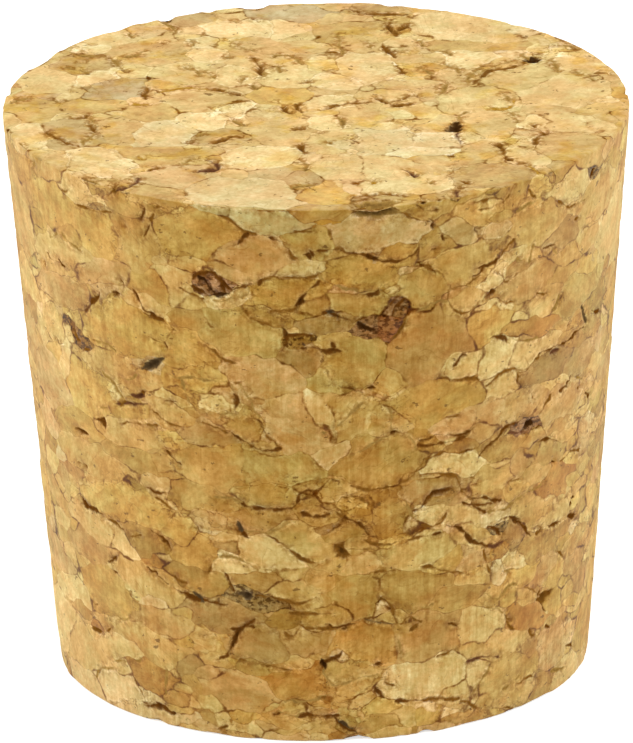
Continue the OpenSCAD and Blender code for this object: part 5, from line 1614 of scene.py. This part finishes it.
def white_floor():
    """A pale floor that keeps the stopper's shadow and is white to the camera elsewhere."""
    mesh = bpy.data.meshes.new("floor")
    half = 3.0
    mesh.from_pydata([(-half, -half, 0), (half, -half, 0), (half, half, 0), (-half, half, 0)], [], [(0, 1, 2, 3)])
    floor = bpy.data.objects.new("floor", mesh)
    bpy.context.scene.collection.objects.link(floor)
    m = Maker("floor_white")
    paint = m.node("ShaderNodeBsdfDiffuse")
    paint.inputs[0].default_value = (0.8, 0.8, 0.8, 1)
    glow = m.node("ShaderNodeEmission")
    path = m.node("ShaderNodeLightPath")
    seen = m.math("MAXIMUM", path.outputs["Is Camera Ray"], path.outputs["Is Glossy Ray"])
    m.feed(glow.inputs["Strength"], m.math("MULTIPLY", seen, 0.6))
    both = m.node("ShaderNodeAddShader")
    m.feed(both.inputs[0], paint.outputs[0])
    m.feed(both.inputs[1], glow.outputs[0])
    m.feed(m.node("ShaderNodeOutputMaterial").inputs[0], both.outputs[0])
    mesh.materials.append(m.material)


WORLD_LIGHT = 0.72


def white_world():
    world = bpy.data.worlds.new("studio")
    bpy.context.scene.world = world
    world.use_nodes = True
    tree = world.node_tree
    tree.nodes.clear()
    path = tree.nodes.new("ShaderNodeLightPath")
    seen = tree.nodes.new("ShaderNodeMath")
    seen.operation = "MAXIMUM"
    tree.links.new(path.outputs["Is Camera Ray"], seen.inputs[0])
    tree.links.new(path.outputs["Is Glossy Ray"], seen.inputs[1])
    level = tree.nodes.new("ShaderNodeMapRange")
    tree.links.new(seen.outputs[0], level.inputs[0])
    level.inputs[3].default_value = WORLD_LIGHT
    level.inputs[4].default_value = 1.0
    glow = tree.nodes.new("ShaderNodeBackground")
    tree.links.new(level.outputs[0], glow.inputs["Strength"])
    tree.links.new(glow.outputs[0], tree.nodes.new("ShaderNodeOutputWorld").inputs[0])


def soft_lamp(name, azimuth, elevation, distance, size, power):
    """A square area lamp that looks at the middle of the stopper."""
    a, e = math.radians(azimuth), math.radians(elevation)
    away = Vector((math.sin(a) * math.cos(e), -math.cos(a) * math.cos(e), math.sin(e)))
    lamp = bpy.data.lights.new(name, "AREA")
    lamp.size = size
    lamp.energy = power
    made = bpy.data.objects.new(name, lamp)
    made.location = Vector((0, 0, LENGTH * MM / 2)) + away * distance
    made.rotation_mode = "QUATERNION"
    made.rotation_quaternion = away.to_track_quat("Z", "Y")
    bpy.context.scene.collection.objects.link(made)


def camera():
    elevation = math.radians(20.12)
    distance = 60 * LARGE_R * MM
    data = bpy.data.cameras.new("camera")
    data.sensor_width = 36
    data.lens = 908.8
    data.clip_start, data.clip_end = 0.1, 20
    data.shift_x = -0.0050
    data.shift_y = 0.0066
    made = bpy.data.objects.new("camera", data)
    back = Vector((0, -math.cos(elevation), math.sin(elevation)))
    made.location = Vector((0, 0, LENGTH * MM / 2)) + back * distance
    roll = Matrix.Rotation(math.radians(-0.9), 4, back)
    made.matrix_world = Matrix.Translation(made.location) @ (roll @ back.to_track_quat("Z", "Y").to_matrix().to_4x4())
    bpy.context.scene.collection.objects.link(made)
    bpy.context.scene.camera = made


piece, granule_layers, opening_layers = build_stopper()
piece.data.materials.append(cork_finish(granule_layers, opening_layers))
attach(piece, "root")
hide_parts("stopper")

white_floor()
white_world()
soft_lamp("lamp_left", -80, 35, 0.5, 0.4, 1.5)
soft_lamp("lamp_right", 80, 35, 0.5, 0.4, 1.34)
soft_lamp("lamp_above", 0, 88, 0.5, 0.5, 0.36)
camera()
bpy.context.scene.view_settings.view_transform = "Standard"
